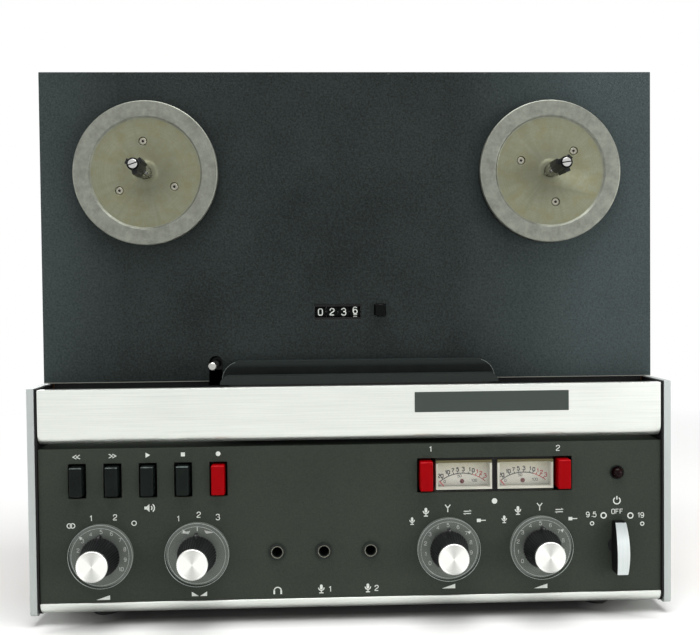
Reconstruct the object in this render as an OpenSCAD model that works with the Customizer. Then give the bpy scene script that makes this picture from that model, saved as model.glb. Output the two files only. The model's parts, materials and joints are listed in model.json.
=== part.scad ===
// Upright reel-to-reel tape recorder: wooden cabinet, tape deck above, control unit in front below.
// X runs to the right, Y to the back and Z up. The origin is on the table, under the middle of the box.

/* [Overall] */
// Width over the two side plates
body_w = 413; // [405:1:425]
// Height from the table to the top of the deck plate
body_h = 359; // [352:1:380]
// Depth from the knob faces to the back edge of the cabinet
body_d = 207; // [200:1:230]

/* [Cabinet] */
// Thickness of the wooden boards
board_t = 10; // [8:0.5:12]
// How far the cabinet's top stays below the deck plate's top
cabinet_drop = 2; // [1:0.5:5]
// How far the rear cover lies inside the back edge
rear_inset = 12; // [10:0.5:20]
// Thickness of the rear cover
rear_t = 2; // [1.5:0.5:4]
// Height of the feet
foot_h = 7; // [5:0.5:10]
// Radius of the feet
foot_r = 9; // [8:0.5:15]

/* [Deck] */
// How far the deck plate stays inside the side plates' outer faces
deck_inset = 2; // [1:0.5:4]
// Thickness of the deck plate
deck_t = 2; // [1.5:0.5:3]
// Thickness of the chassis plate behind it
chassis_t = 4; // [3:0.5:6]
// Distance of a reel spindle from the side
reel_inset = 72.75; // [70:0.25:80]
// Drop of the spindles below the deck's top edge
reel_drop = 67.7; // [62:0.1:74]
// Radius of the turntables
table_r = 47.2; // [44:0.1:49]
// Radius of the sunk middle of a turntable
table_sunk_r = 37; // [34:0.5:40]
// Height of the turntable's face in front of the deck
table_h = 9; // [8:0.5:12]
// Radius of the spindle
spindle_r = 4; // [3.9:0.05:4.1]
// Length of the spindle in front of the turntable's face
spindle_len = 36; // [32:0.5:40]
// Length of the splined part of the spindle
spline_len = 15; // [12:0.5:16]
// Radius over the lobes of the reel lock
lobe_r = 5.7; // [5.2:0.1:6.5]

/* [Counter] */
// Height of the counter above the deck's lower edge
counter_up = 45.8; // [40:0.1:55]
// Middle of the counter window to the left of the centre line
counter_left = 8.5; // [6:0.5:10]
// Distance between two digit wheels
wheel_pitch = 7.8; // [7.4:0.1:8.2]
// Radius of the digit wheels
wheel_r = 10; // [9:0.5:11]
// Height of the counter window
window_h = 10.4; // [9:0.1:12]
// Reset button to the right of the centre line
reset_x = 19.9; // [18:0.1:22]
// Travel of the reset button
reset_travel = 3; // [2:0.5:3]

/* [Control unit] */
// How far the side plates stand in front of the deck
step = 28; // [27:0.5:32]
// How far the control panel lies behind the side plates' edges
panel_inset = 2; // [1.5:0.5:3]
// Height of the control unit above the feet
control_h = 145.5; // [143:0.5:150]
// Thickness of the side plates
side_t = 4.5; // [3:0.5:6]
// Thickness of the black strips beside the panel
strip_t = 1.2; // [1:0.1:2.5]
// Depth of the side plates
side_d = 46; // [40:1:60]
// Thickness of the panel, tray and flap sheet
sheet_t = 2; // [1.5:0.1:2.5]
// Outer radius of the rolled edges of the flap and tray
roll_r = 8; // [7:0.5:9]
// Height of the flap
flap_h = 35.5; // [34:0.5:37]

/* [Controls] */
// Height of the dials above the feet
dial_up = 38.3; // [35:0.1:41]
// Height of the keys and meters above the feet
key_up = 86; // [84:0.1:88]
// Width of a key
key_w = 8.4; // [8:0.1:10]
// Height of a key
key_h = 19.2; // [18:0.1:21]
// How far a key stands in front of the panel
key_out = 4.5; // [4.2:0.1:6]
// Distance between two transport keys
key_pitch = 22.4; // [20:0.1:24]
// Travel of a key
key_travel = 4; // [3:0.5:4]
// Radius of the clear dials
dial_r = 21; // [18:0.5:22]
// Radius of a knob's face
knob_r = 10; // [9:0.5:11]
// Reach of the knob faces in front of the panel
knob_reach = 24; // [20:0.5:28]
// Radius of the jack bores
jack_r = 3.2; // [3.15:0.05:3.3]
// Length of the jack bores
jack_len = 22; // [18:0.5:23]
// Height of the power lever
lever_h = 33; // [28:0.5:36]
// Width of the power lever
lever_w = 8.2; // [7:0.1:10]
// Reach of the power lever in front of the panel
lever_out = 12.5; // [10:0.5:15]

/* [Tape path] */
// Width of the head cover
cover_w = 181; // [176:1:184]
// Height of the head cover
cover_h = 14.2; // [13:0.1:16]
// Reach of the head cover in front of the deck
cover_out = 20.5; // [19:0.5:22]
// Radius of the capstan
capstan_r = 3; // [2.5:0.1:3.5]
// Radius of the pinch roller
roller_r = 8.8; // [8:0.1:9]
// Radius of the tape guide pin
guide_r = 2.5; // [2:0.1:2.8]

/* [Hidden] */
$fn = 64;

// Fits: a shaft's running gap, the gap round a sliding piece, and the gap beside a moving piece
run_gap = 0.05;
slide_gap = 0.25;
side_gap = 0.4;
// Planes from front to back
trim_proud = 1;
deck_y = -body_d / 2 + knob_reach + step - panel_inset;
side_y = deck_y - step;
panel_y = side_y + panel_inset;
trim_y = panel_y - trim_proud;
panel_back = panel_y + sheet_t;
chassis_y = deck_y + deck_t;
cabinet_y = chassis_y + chassis_t;
back_y = body_d / 2;
rear_y = back_y - rear_inset - rear_t;
// Levels from the table up
base_z = foot_h;
control_z = base_z + control_h;
deck_gap = 0.5;
deck_z = control_z + deck_gap;
reel_z = body_h - reel_drop;
counter_z = deck_z + counter_up;
dial_z = base_z + dial_up;
key_z = base_z + key_up;
panel_z0 = base_z + roll_r + 0.2;
flap_top = control_z - 1;
flap_z = flap_top - flap_h;
panel_top = flap_z - 2.5;
// Half widths
cabinet_x = body_w / 2 - side_t;
inner_x = cabinet_x - board_t;
panel_x = cabinet_x - strip_t - 0.2;
flap_x = panel_x - side_gap / 2;
deck_x = body_w / 2 - deck_inset;
cabinet_z1 = body_h - cabinet_drop;

// Places along X on the control panel
key_inset = 24.4;
key_x0 = key_inset - panel_x;
dial_inset = [39.1, 100.1, 139.6, 79.2];
dial_x = [
  dial_inset[0] - panel_x, dial_inset[1] - panel_x, panel_x - dial_inset[2], panel_x - dial_inset[3]
];
jack_left = 19.5;
jack_pitch = 30.1;
jack_x = [-jack_left - jack_pitch, -jack_left, jack_pitch - jack_left];
lever_inset = 28.9;
lever_x = panel_x - lever_inset;
meter_inset = 109.1;
meter_mid = panel_x - meter_inset;
meter_pitch = 40;
meter_x = [meter_mid - meter_pitch / 2, meter_mid + meter_pitch / 2];
channel_pitch = 89.4;
channel_x = [meter_mid - channel_pitch / 2, meter_mid + channel_pitch / 2];
meter_cut_gap = 1.5;
meter_cut_x = channel_pitch / 2 + key_w / 2 + meter_cut_gap;
reel_x = [reel_inset - body_w / 2, body_w / 2 - reel_inset];

// Turntable and spindle
drum_r = table_r - 3;
disc_t = 4;
sunk = 1.4;
sunk_slope = 1.2;
screw_hole_d = 1.1;
deck_hub_r = spindle_r + 5;
screw_ring_r = 20.7;
screw_hole_r = 2.8;
core_r = 2;
lock_turn = [55, 40];
head_r = spindle_r - 0.6;
head_t = 1.5;
tip_y = deck_y - table_h - spindle_len;
lock_y1 = deck_y - table_h - spline_len - 0.3;

// Motors: an outer rotor bell turns round a stator on a flange behind the chassis
flange_t = 3;
tube_r = 8;
bell_t = 4;
reel_bell_r = 44;
reel_bell_d = 44;
capstan_bell_r = 36;
capstan_bell_d = 38;
bell_gap = 6;
pulley_r = 10;
pulley_t = 4;
belt_t = 1.1;
pulley_y = cabinet_y + bell_gap + reel_bell_d + 1;

// Counter
wheel_w = wheel_pitch - 0.6;
counter_x = -counter_left;
wheel_y = chassis_y - 0.5 + wheel_r;
wheel_bore_r = 1.6;
wheel_shaft_r = 1.5;
counter_w = 4 * wheel_pitch;
cheek_t = 2;
frame_y1 = wheel_y + wheel_r + 3.5;
reset_w = 6.7;
reset_h = 7.6;
reset_out = 4;
guide_x0 = reset_x - 5;
guide_x1 = reset_x + 5;
opening_x = counter_w / 2 + cheek_t + 2;
opening_h = wheel_r + 4;

// Tape path
capstan_x = 62;
capstan_z = flap_top - 4.5;
roller_gap = 4;
roller_z = capstan_z - capstan_r - roller_gap - roller_r;
arm_len = 34;
arm_x = capstan_x - arm_len;
post_r = 3;
axle_r = 2.5;
cover_x = 5;
cover_x0 = cover_x - cover_w / 2;
cover_x1 = cover_x + cover_w / 2;
cover_z = deck_z - 0.2;
cover_t = 1.5;
tier_y = deck_y - 9;
tier_h = cover_h - 9;
head_x = [-40, 5, 45];
head_w = 15;
guide_x = cover_x0 - 5;
guide_z = deck_z + 11.6;
guide_arm_len = 30;
slot_w = 2 * guide_r + 3.7;

// Flap hinge, inside the rolled edge
roll_y = trim_y + roll_r;
roll_z = flap_z + roll_r;
hinge_out = roll_r - 3.5;
hinge_y = roll_y - hinge_out * 0.574;
hinge_z = roll_z - hinge_out * 0.819;
ear_r = 3.4;
ear_t = 2;
pin_r = 1.75;
pin_len = strip_t + 3;

// Controls
bush_r = 6;
hub_in = 6;
knob_taper = 2.6;
hub_r = 5;
shaft_r = 3;
pot_r = 13;
pot_back = panel_back + 17;
dial_back = panel_y - 1.2;
dial_front = panel_y - 4;
knob_back = dial_front - 0.3;
knob_face = panel_y - knob_reach;
stem_w = 3;
stem_h = 12;
bank_y = panel_y + 14;
key_back = bank_y - key_travel - 2;
stem_back = chassis_y - key_travel - 2;
key_hole_gap = 1.5;
meter_w = 36.4;
meter_h = key_h - 0.4;
meter_low = 19.2;
meter_wall = 1.4;
face_y = panel_y + 6;
needle_drop = 24;
needle_z = key_z - needle_drop;
needle_len = 24.7;
needle_y = face_y - 2;
lamp_r = 3.5;
core_size = [64, 56, 60];
coil_size = [44, 12, 48];
core_inset = 87;
core_x = cabinet_x - core_inset;
core_back = 75;
core_y = cabinet_y + core_back;
boards_left = 40;
boards_w = 185;
boards_d = 64;
boards_y = cabinet_y + bell_gap + capstan_bell_d + 4;
board_inset = 8;
board_step = 32;
pcb_t = 1.6;
pcb_h = 84;
meter_depth = 16;
meter_proud = 0.6;
frame_margin = 6;
reset_guide_d = 12;
connector_z0 = base_z + board_t + 5;
connector_h = 58;
connector_w = 300;
plate_t = 1.5;
socket_r = 4.2;
neck_r = 3;
neck_back = 2;
pin_hole_r = 1.65;
pin_hole_len = 6;
socket_len = 7;
socket_left = 110;
socket_pitch = 38;
socket_x = [-socket_left, socket_pitch - socket_left, 2 * socket_pitch - socket_left];
socket_up = [20, 39];
socket_z = [connector_z0 + socket_up[0], connector_z0 + socket_up[1]];
inlet_x = 112;
inlet_w = 30;
inlet_h = 22;
inlet_d = 19.5;
inlet_wall = 3;

// Box between two corners
module block(lo, hi) {
  translate(lo) cube(hi - lo);
}

// Round bar along Y from a point
module rod(at, len, r) {
  translate(at) rotate([-90, 0, 0]) cylinder(h = len, r = r);
}

// Round bar along X from a point
module bar(at, len, r) {
  translate(at) rotate([0, 90, 0]) cylinder(h = len, r = r);
}

// Turned piece along Y: the profile holds pairs of radius and depth
module turned(at, profile) {
  translate(at) rotate([-90, 0, 0]) rotate_extrude() polygon(profile);
}

// Wooden box of four boards, open in front and behind
module cabinet() {
  color("saddlebrown") {
    block([-cabinet_x, cabinet_y, base_z], [cabinet_x, back_y, base_z + board_t]);
    block([-cabinet_x, cabinet_y, cabinet_z1 - board_t], [cabinet_x, back_y, cabinet_z1]);
    for (side = [-1, 1]) {
      mid = side * (cabinet_x + inner_x) / 2;
      block([mid - board_t / 2, cabinet_y, base_z + board_t],
        [mid + board_t / 2, back_y, cabinet_z1 - board_t]);
    }
  }
}

// Rear cover with rows of vents and an opening for the connectors
module rear_cover() {
  gap = 0.2;
  z0 = base_z + board_t + gap;
  z1 = cabinet_z1 - board_t - gap;
  vent_w = 26;
  vent_h = 4;
  vent_step = [34, 16];
  rows = 5;
  columns = 9;
  vent_drop = 30;
  vents_z = z1 - vent_drop;
  color("dimgray") difference() {
    block([-inner_x + gap, rear_y, z0], [inner_x - gap, rear_y + rear_t, z1]);
    block([6 - connector_w / 2, rear_y - 1, connector_z0 + 6],
      [connector_w / 2 - 6, rear_y + rear_t + 1, connector_z0 + connector_h - 6]);
    for (i = [0:columns - 1], j = [0:rows - 1])
      translate([(i - (columns - 1) / 2) * vent_step[0] - vent_w / 2, rear_y - 1,
        vents_z - j * vent_step[1]])
        cube([vent_w, rear_t + 2, vent_h]);
  }
}

// Rear plate with six round sockets in holes of the plate, and a mains inlet
module connector_panel() {
  y0 = rear_y + rear_t;
  y1 = y0 + plate_t;
  collar = neck_back + plate_t + run_gap;
  end = neck_back + plate_t + socket_len;
  inlet_z = connector_z0 + connector_h / 2;
  w = inlet_w / 2;
  h = inlet_h / 2;
  color("silver") {
    difference() {
      block([-connector_w / 2, y0, connector_z0], [connector_w / 2, y1, connector_z0 + connector_h]);
      block([inlet_x - w, y0 - 1, inlet_z - h], [inlet_x + w, y1 + 1, inlet_z + h]);
      for (x = socket_x, z = socket_z) rod([x, y0 - 1, z], plate_t + 2, neck_r + run_gap);
    }
    for (x = socket_x, z = socket_z)
      turned([x, y0 - neck_back, z], [
        [0, 0], [neck_r, 0], [neck_r, collar], [socket_r, collar], [socket_r, end], [pin_hole_r, end],
        [pin_hole_r, end - pin_hole_len], [0, end - pin_hole_len]
      ]);
    difference() {
      block([inlet_x - w + 0.1, y1 - inlet_d, inlet_z - h + 0.1],
        [inlet_x + w - 0.1, y1 + 1, inlet_z + h - 0.1]);
      block([inlet_x - w + inlet_wall, y1 - inlet_d + inlet_wall, inlet_z - h + inlet_wall],
        [inlet_x + w - inlet_wall, y1 + 2, inlet_z + h - inlet_wall]);
    }
  }
}

// Four rubber feet
module feet() {
  foot_inset = 36.5;
  foot_ahead = 5.5;
  foot_x = cabinet_x - foot_inset;
  chamfer = 1;
  color("black") for (x = [-foot_x, foot_x], y = [cabinet_y - foot_ahead, back_y - 30])
    translate([x, y, 0]) rotate_extrude()
      polygon([[0, 0], [foot_r - chamfer, 0], [foot_r, chamfer], [foot_r, foot_h], [0, foot_h]]);
}

// Cast chassis: plate behind the deck with ribs, and the post that carries the pinch arm
module chassis() {
  plate_x = inner_x + 6;
  z1 = cabinet_z1 - 3;
  rib_x = inner_x - 0.5;
  rib_t = 3.5;
  rib_d = 14;
  rib_gap = 2;
  low_z = counter_z + opening_h + frame_margin + rib_gap;
  low_x = reel_x[1] - reel_bell_r - rib_gap;
  top_z = cabinet_z1 - board_t - 0.5 - rib_t;
  color("gray") {
    difference() {
      block([-plate_x, chassis_y, panel_z0], [plate_x, cabinet_y, z1]);
      for (x = reel_x) rod([x, chassis_y - 1, reel_z], chassis_t + 2, deck_hub_r);
      rod([capstan_x, chassis_y - 1, capstan_z], chassis_t + 2, tube_r);
      block([counter_x - opening_x, chassis_y - 1, counter_z - opening_h],
        [guide_x1 + 2, cabinet_y + 1, counter_z + opening_h]);
      block([guide_x - slot_w / 2 - 1, chassis_y - 1, deck_z - 3],
        [guide_x + slot_w / 2 + 1, cabinet_y + 1, guide_z + 6]);
    }
    for (side = [-1, 1]) {
      x = side * (rib_x - rib_t / 2);
      block([x - rib_t / 2, cabinet_y, low_z], [x + rib_t / 2, cabinet_y + rib_d, top_z + rib_t]);
    }
    block([-low_x, cabinet_y, low_z], [low_x, cabinet_y + rib_d, low_z + rib_t]);
    block([rib_t - rib_x, cabinet_y, top_z], [rib_x - rib_t, cabinet_y + rib_d, top_z + rib_t]);
    rod([arm_x, chassis_y - 8, roller_z], 8, post_r);
    rod([guide_x + guide_arm_len, cabinet_y, guide_z], 6, post_r);
  }
}

// Deck plate with its openings
module deck_plate() {
  reset_gap = 0.35;
  color("darkslategray") difference() {
    block([-deck_x, deck_y, deck_z], [deck_x, chassis_y, body_h]);
    for (x = reel_x) rod([x, deck_y - 1, reel_z], deck_t + 2, deck_hub_r);
    block([counter_x - counter_w / 2, deck_y - 1, counter_z - window_h / 2],
      [counter_x + counter_w / 2, chassis_y + 1, counter_z + window_h / 2]);
    block([reset_x - reset_w / 2 - reset_gap, deck_y - 1, counter_z + 1 - reset_h / 2 - reset_gap],
      [reset_x + reset_w / 2 + reset_gap, chassis_y + 1, counter_z + 1 + reset_h / 2 + reset_gap]);
    rod([guide_x, deck_y - 1, guide_z + 1], deck_t + 2, slot_w / 2);
    block([guide_x - slot_w / 2, deck_y - 1, deck_z - 1],
      [guide_x + slot_w / 2, chassis_y + 1, guide_z + 1]);
    block([cover_x0 + 12, deck_y - 1, deck_z - 1], [cover_x1 - 12, chassis_y + 1, cover_z + cover_h - 3]);
  }
}

// Rolled lower edge of a sheet: a quarter tube that stops short of straight below its centre
module rolled_edge(half_x, y, z, short) {
  intersection() {
    difference() {
      bar([-half_x, y, z], 2 * half_x, roll_r);
      bar([-half_x - 1, y, z], 2 * half_x + 2, roll_r - sheet_t);
    }
    block([-half_x, y - roll_r - 1, z - roll_r - 1], [half_x, y - short, z]);
  }
}

// Bottom tray of the control unit with the bright rolled trim in front
module control_tray() {
  color("gainsboro") {
    rolled_edge(panel_x, trim_y + roll_r, base_z + roll_r, 0);
    block([-panel_x, trim_y + roll_r, base_z], [panel_x, cabinet_y, base_z + sheet_t]);
  }
}

// Outline of a side plate or strip, seen from the side, with a rounded lower front corner
module side_outline(y0, y1, z0, z1, r) {
  translate([y0, z0 + r]) square([y1 - y0, z1 - z0 - r]);
  translate([y0 + r, z0]) square([y1 - y0 - r, z1 - z0]);
  translate([y0 + r, z0 + r]) circle(r);
}

// Lays an outline drawn in Y and Z as a plate along X
module side_sheet(x0, t) {
  translate([x0, 0, 0]) rotate([90, 0, 90]) linear_extrude(t) children();
}

// Two side plates with the flap's hinge bores in their inner faces
module side_plates() {
  corner_r = 3;
  bore_d = 3;
  color("lightgray") for (side = [-1, 1])
    difference() {
      side_sheet(side > 0 ? cabinet_x : -cabinet_x - side_t, side_t)
        side_outline(side_y, side_y + side_d, base_z, control_z, corner_r);
      bar([side > 0 ? cabinet_x - 1 : -cabinet_x - bore_d, hinge_y, hinge_z], bore_d + 1, pin_r + run_gap);
    }
}

// Two black strips that line the side plates
module side_strips() {
  margin = 0.4;
  color("black") for (x0 = [-cabinet_x, cabinet_x - strip_t])
    difference() {
      side_sheet(x0, strip_t)
        side_outline(trim_y - margin, cabinet_y, base_z - margin, control_z - margin, roll_r + margin);
      bar([x0 - 1, hinge_y, hinge_z], strip_t + 2, pin_r + run_gap);
    }
}

// Key centre by its number, from the left
function key_x(i) = key_x0 + i * key_pitch;

// Flat control panel with all its openings
module control_panel() {
  w = key_w / 2 + key_hole_gap;
  h = key_h / 2 + key_hole_gap;
  cut_h = key_h / 2 + meter_cut_gap;
  meter_x1 = meter_mid + meter_cut_x;
  through = sheet_t + 2;
  color("darkslategray") difference() {
    block([-panel_x, panel_y, panel_z0], [panel_x, panel_back, panel_top]);
    for (i = [0:4]) block([key_x(i) - w, panel_y - 1, key_z - h],
      [key_x(i) + w, panel_back + 1, key_z + h]);
    block([2 * meter_mid - meter_x1, panel_y - 1, key_z - cut_h], [meter_x1, panel_back + 1, key_z + cut_h]);
    for (x = dial_x) rod([x, panel_y - 1, dial_z], through, bush_r + run_gap);
    rod([lever_x, panel_y - 1, dial_z], through, bush_r + run_gap);
    for (x = jack_x) rod([x, panel_y - 1, dial_z], through, jack_r + 1.8 + run_gap);
    rod([lever_x, panel_y - 1, key_z], through, lamp_r + run_gap);
  }
}

// Floor of the head compartment, from the panel's top edge back to the chassis
module compartment_floor() {
  color("dimgray") block([-panel_x, panel_back, panel_top - sheet_t], [panel_x, chassis_y, panel_top]);
}

// Box with two rounded upper corners, from a front plane to a back plane
module arch_block(x0, x1, y0, y1, z0, z1, r) {
  intersection() {
    union() {
      block([x0, y0, z0], [x1, y1, z1 - r]);
      block([x0 + r, y0, z0], [x1 - r, y1, z1]);
      for (x = [x0 + r, x1 - r]) rod([x, y0, z1 - r], y1 - y0, r);
    }
    block([x0 - 1, y0, z0], [x1 + 1, y1, z1 + 1]);
  }
}

// Stepped hollow cover over the heads, open below and behind
module head_cover() {
  tall_r = 12;
  wall_x = 9;
  low_r = tier_h - 0.2;
  y0 = deck_y - cover_out;
  color("black") difference() {
    union() {
      arch_block(cover_x0, cover_x1, tier_y, deck_y, cover_z, cover_z + cover_h, tall_r);
      arch_block(cover_x0, cover_x1, y0, tier_y, cover_z, cover_z + tier_h, low_r);
    }
    block([cover_x0 + wall_x, tier_y + cover_t, cover_z - 1],
      [cover_x1 - wall_x, deck_y + 1, cover_z + cover_h - cover_t]);
    block([cover_x0 + wall_x, y0 + cover_t, cover_z - 1],
      [cover_x1 - wall_x, deck_y, cover_z + tier_h - cover_t]);
  }
}

// Plate on the chassis that carries the heads
module head_carrier() {
  color("silver")
    block([head_x[0] - 15, deck_y - 2, cover_z + 0.5], [head_x[2] + 15, chassis_y, cover_z + cover_h - 4]);
}

// Erase, record and play heads: blocks with a round nose that the tape runs under
module tape_heads() {
  y0 = deck_y - cover_out + cover_t + 0.5;
  y1 = deck_y - 2;
  z1 = cover_z + tier_h - cover_t - 0.3;
  nose_r = head_w / 2;
  nose_z = cover_z - 5 + nose_r - 3;
  color("lightgray") for (x = head_x)
    intersection() {
      union() {
        block([x - head_w / 2, y0, nose_z], [x + head_w / 2, y1, z1]);
        rod([x, y0, nose_z], y1 - y0, nose_r);
      }
      block([x - head_w, y0, cover_z - 8], [x + head_w, y1, z1]);
    }
}

// Fixed half of a motor: flange on the chassis, bearing tube and stator, with the shaft's bore
module stator(x, z, bell_r, bell_d, bore_r) {
  stack_r = bell_r - bell_t - 1.5;
  turned([x, cabinet_y, z], [
    [bore_r, 0], [bell_r - 6, 0], [bell_r - 6, flange_t], [tube_r, flange_t], [tube_r, bell_gap + 2],
    [stack_r, bell_gap + 2], [stack_r, bell_d - 4], [tube_r, bell_d - 4], [tube_r, bell_d], [bore_r, bell_d]
  ]);
}

module motor_stators() {
  color("dimgray") {
    for (x = reel_x) stator(x, reel_z, reel_bell_r, reel_bell_d, spindle_r + run_gap);
    stator(capstan_x, capstan_z, capstan_bell_r, capstan_bell_d, capstan_r + run_gap);
  }
}

// Turning bell of a motor, closed behind
module bell(x, z, bell_r, bell_d) {
  turned([x, cabinet_y + bell_gap, z], [
    [bell_r - bell_t, 0], [bell_r, 0], [bell_r, bell_d], [0, bell_d], [0, bell_d - bell_t],
    [bell_r - bell_t, bell_d - bell_t]
  ]);
}

// Mains transformer: laminated core with two coil cheeks, on the cabinet floor
module power_transformer() {
  at = [-core_x, core_y - core_size[1] / 2, base_z + board_t];
  color("slategray") {
    translate(at - [core_size[0] / 2, 0, 0]) cube(core_size);
    for (y = [-coil_size[1], core_size[1]])
      translate(at + [-coil_size[0] / 2, y, (core_size[2] - coil_size[2]) / 2]) cube(coil_size);
  }
}

// Amplifier boards standing in a base board on the cabinet floor
module circuit_boards() {
  at = [-boards_left, boards_y, base_z + board_t];
  base_t = 3;
  color("darkgreen") {
    translate(at) cube([boards_w, boards_d, base_t]);
    for (i = [0:5])
      translate(at + [board_inset + board_step * i, 2, base_t]) cube([pcb_t, boards_d - 4, pcb_h]);
  }
}

// Meter cases: window frame in front of the panel's cut, and a deeper box behind the panel
module vu_meters() {
  w = meter_w / 2;
  z1 = key_z + meter_h / 2;
  z0 = key_z - meter_h / 2;
  low = z0 - meter_low;
  back = panel_back + meter_depth;
  color("whitesmoke") for (x = meter_x)
    difference() {
      union() {
        block([x - w, panel_y - meter_proud, z0], [x + w, panel_back, z1]);
        block([x - w, panel_back, low], [x + w, back, z1]);
      }
      block([x - w + meter_wall, panel_y - 2, z0 + meter_wall],
        [x + w - meter_wall, face_y, z1 - meter_wall]);
      block([x - w + meter_wall, panel_back + meter_wall, low + meter_wall],
        [x + w - meter_wall, face_y, z1 - meter_wall]);
      rod([x, face_y - 1, needle_z], 4, 0.8 + run_gap);
    }
}

module meter_windows() {
  w = meter_w / 2 - meter_wall - run_gap;
  h = meter_h / 2 - meter_wall - run_gap;
  color("lightcyan", 0.4) for (x = meter_x)
    block([x - w, panel_y - 0.4, key_z - h], [x + w, panel_y + 0.8, key_z + h]);
}

// Needle on its pivot, drawn at rest to the left
module needle(i) {
  rest_angle = 38.6;
  color("firebrick") translate([meter_x[i], needle_y, needle_z]) rotate([0, -rest_angle, 0]) {
    block([-0.35, 0, 0], [0.35, 0.5, needle_len]);
    rod([0, 0, 0], 0.5, 2.2);
    rod([0, 0.5, 0], 4, 0.8);
  }
}

module left_needle() {
  needle(0);
}

module right_needle() {
  needle(1);
}

// Phone jacks: a ring in front of the panel, a barrel behind it and a blind bore
module jack_sockets() {
  ring_t = 1.2;
  color("black") for (x = jack_x)
    turned([x, panel_y - ring_t, dial_z], [
      [jack_r, 0], [jack_r + 2.2, 0], [jack_r + 2.2, ring_t], [jack_r + 1.8, ring_t],
        [jack_r + 1.8, ring_t + sheet_t],
      [jack_r + 3.3, ring_t + sheet_t], [jack_r + 3.3, jack_len + 1.5], [0, jack_len + 1.5],
        [0, jack_len], [jack_r, jack_len]
    ]);
}

// Potentiometers with their bushes, and the rotary switch of the power lever
module control_pots() {
  d = pot_back - panel_y;
  color("silver") {
    for (x = dial_x)
      turned([x, panel_y, dial_z], [
        [hub_r + 2 * run_gap, 0], [bush_r, 0], [bush_r, sheet_t], [pot_r, sheet_t], [pot_r, d], [0, d],
          [0, d - 2],
        [shaft_r + run_gap, d - 2], [shaft_r + run_gap, 7], [hub_r + 2 * run_gap, 7]
      ]);
    turned([lever_x, panel_y, dial_z], [
      [shaft_r + run_gap, 0], [bush_r, 0], [bush_r, sheet_t], [pot_r, sheet_t], [pot_r, d], [0, d],
        [0, d - 2],
      [shaft_r + run_gap, d - 2]
    ]);
  }
}

// Guide for the stem of one key
module key_guide(x, half_w) {
  w = stem_w / 2 + slide_gap;
  h = stem_h / 2 + slide_gap;
  difference() {
    block([x - half_w, bank_y, key_z - key_h / 2], [x + half_w, chassis_y, key_z + key_h / 2]);
    block([x - w, bank_y - 1, key_z - h], [x + w, chassis_y - 1, key_z + h]);
  }
}

// Row of key guides on the chassis: the five transport keys joined, the two channel keys apart
module key_bank() {
  color("dimgray") {
    for (i = [0:4]) key_guide(key_x(i), key_pitch / 2);
    for (x = channel_x) key_guide(x, key_w / 2);
  }
}

// Key: a cap in front and a stem behind
module key_piece(x) {
  block([x - key_w / 2, panel_y - key_out, key_z - key_h / 2],
    [x + key_w / 2, key_back, key_z + key_h / 2]);
  block([x - stem_w / 2, key_back, key_z - stem_h / 2], [x + stem_w / 2, stem_back, key_z + stem_h / 2]);
}

module rewind_key() {
  color("black") key_piece(key_x(0));
}

module forward_key() {
  color("black") key_piece(key_x(1));
}

module play_key() {
  color("black") key_piece(key_x(2));
}

module stop_key() {
  color("black") key_piece(key_x(3));
}

module record_key() {
  color("crimson") key_piece(key_x(4));
}

module channel_1_key() {
  color("crimson") key_piece(channel_x[0]);
}

module channel_2_key() {
  color("crimson") key_piece(channel_x[1]);
}

// Clear selector dial: a disc with a raised rim, on a hub in the pot's bush
module dial(x) {
  t = dial_back - dial_front;
  hub = panel_y + hub_in - dial_front;
  bore = shaft_r + run_gap;
  rim = 2.5;
  color("lightgray", 0.6) turned([x, dial_front, dial_z], [
    [bore, 0.8], [dial_r - rim, 0.8], [dial_r - rim, 0], [dial_r - 1, 0], [dial_r, 1], [dial_r, t],
      [hub_r, t],
    [hub_r, hub], [bore, hub]
  ]);
}

module monitor_dial() {
  dial(dial_x[0]);
}

module source_dial() {
  dial(dial_x[1]);
}

module input_1_dial() {
  dial(dial_x[2]);
}

module input_2_dial() {
  dial(dial_x[3]);
}

// Tapered knob with a pointer ridge on its upper side and a shaft behind
module knob(x) {
  len = knob_back - knob_face;
  base_r = knob_r + knob_taper;
  shaft_end = pot_back - 3 - knob_face;
  pointer_w = 2.4;
  color("black") {
    turned([x, knob_face, dial_z], [
      [0, 0], [knob_r - 0.6, 0], [knob_r, 0.6], [knob_r, 3], [base_r, len], [shaft_r, len],
        [shaft_r, shaft_end],
      [0, shaft_end]
    ]);
    block([x - pointer_w / 2, knob_back - 5, dial_z],
      [x + pointer_w / 2, knob_back, dial_z + base_r + 1.8]);
  }
}

module volume_knob() {
  knob(dial_x[0]);
}

module balance_knob() {
  knob(dial_x[1]);
}

module level_1_knob() {
  knob(dial_x[2]);
}

module level_2_knob() {
  knob(dial_x[3]);
}

// Bar lever with an arched face, lower at its upper end, and waisted ends
module power_lever() {
  arch_r = 40;
  arch_drop = 4;
  back = panel_y - 1;
  waist = 0.5;
  plan_r = (pow(lever_h / 2, 2) + waist * waist) / (2 * waist);
  color("silver") {
    intersection() {
      block([lever_x - lever_w / 2, panel_y - lever_out - 1, dial_z - lever_h / 2],
        [lever_x + lever_w / 2, back, dial_z + lever_h / 2]);
      bar([lever_x - lever_w, panel_y - lever_out + arch_r, dial_z - arch_drop], 2 * lever_w, arch_r,
        $fn = 360);
      rod([lever_x + lever_w / 2 - plan_r, panel_y - lever_out - 2, dial_z], lever_out + 2, plan_r,
        $fn = 720);
      rod([lever_x - lever_w / 2 + plan_r, panel_y - lever_out - 2, dial_z], lever_out + 2, plan_r,
        $fn = 720);
    }
    rod([lever_x, back, dial_z], pot_back - 3 - back, shaft_r);
  }
}

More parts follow.
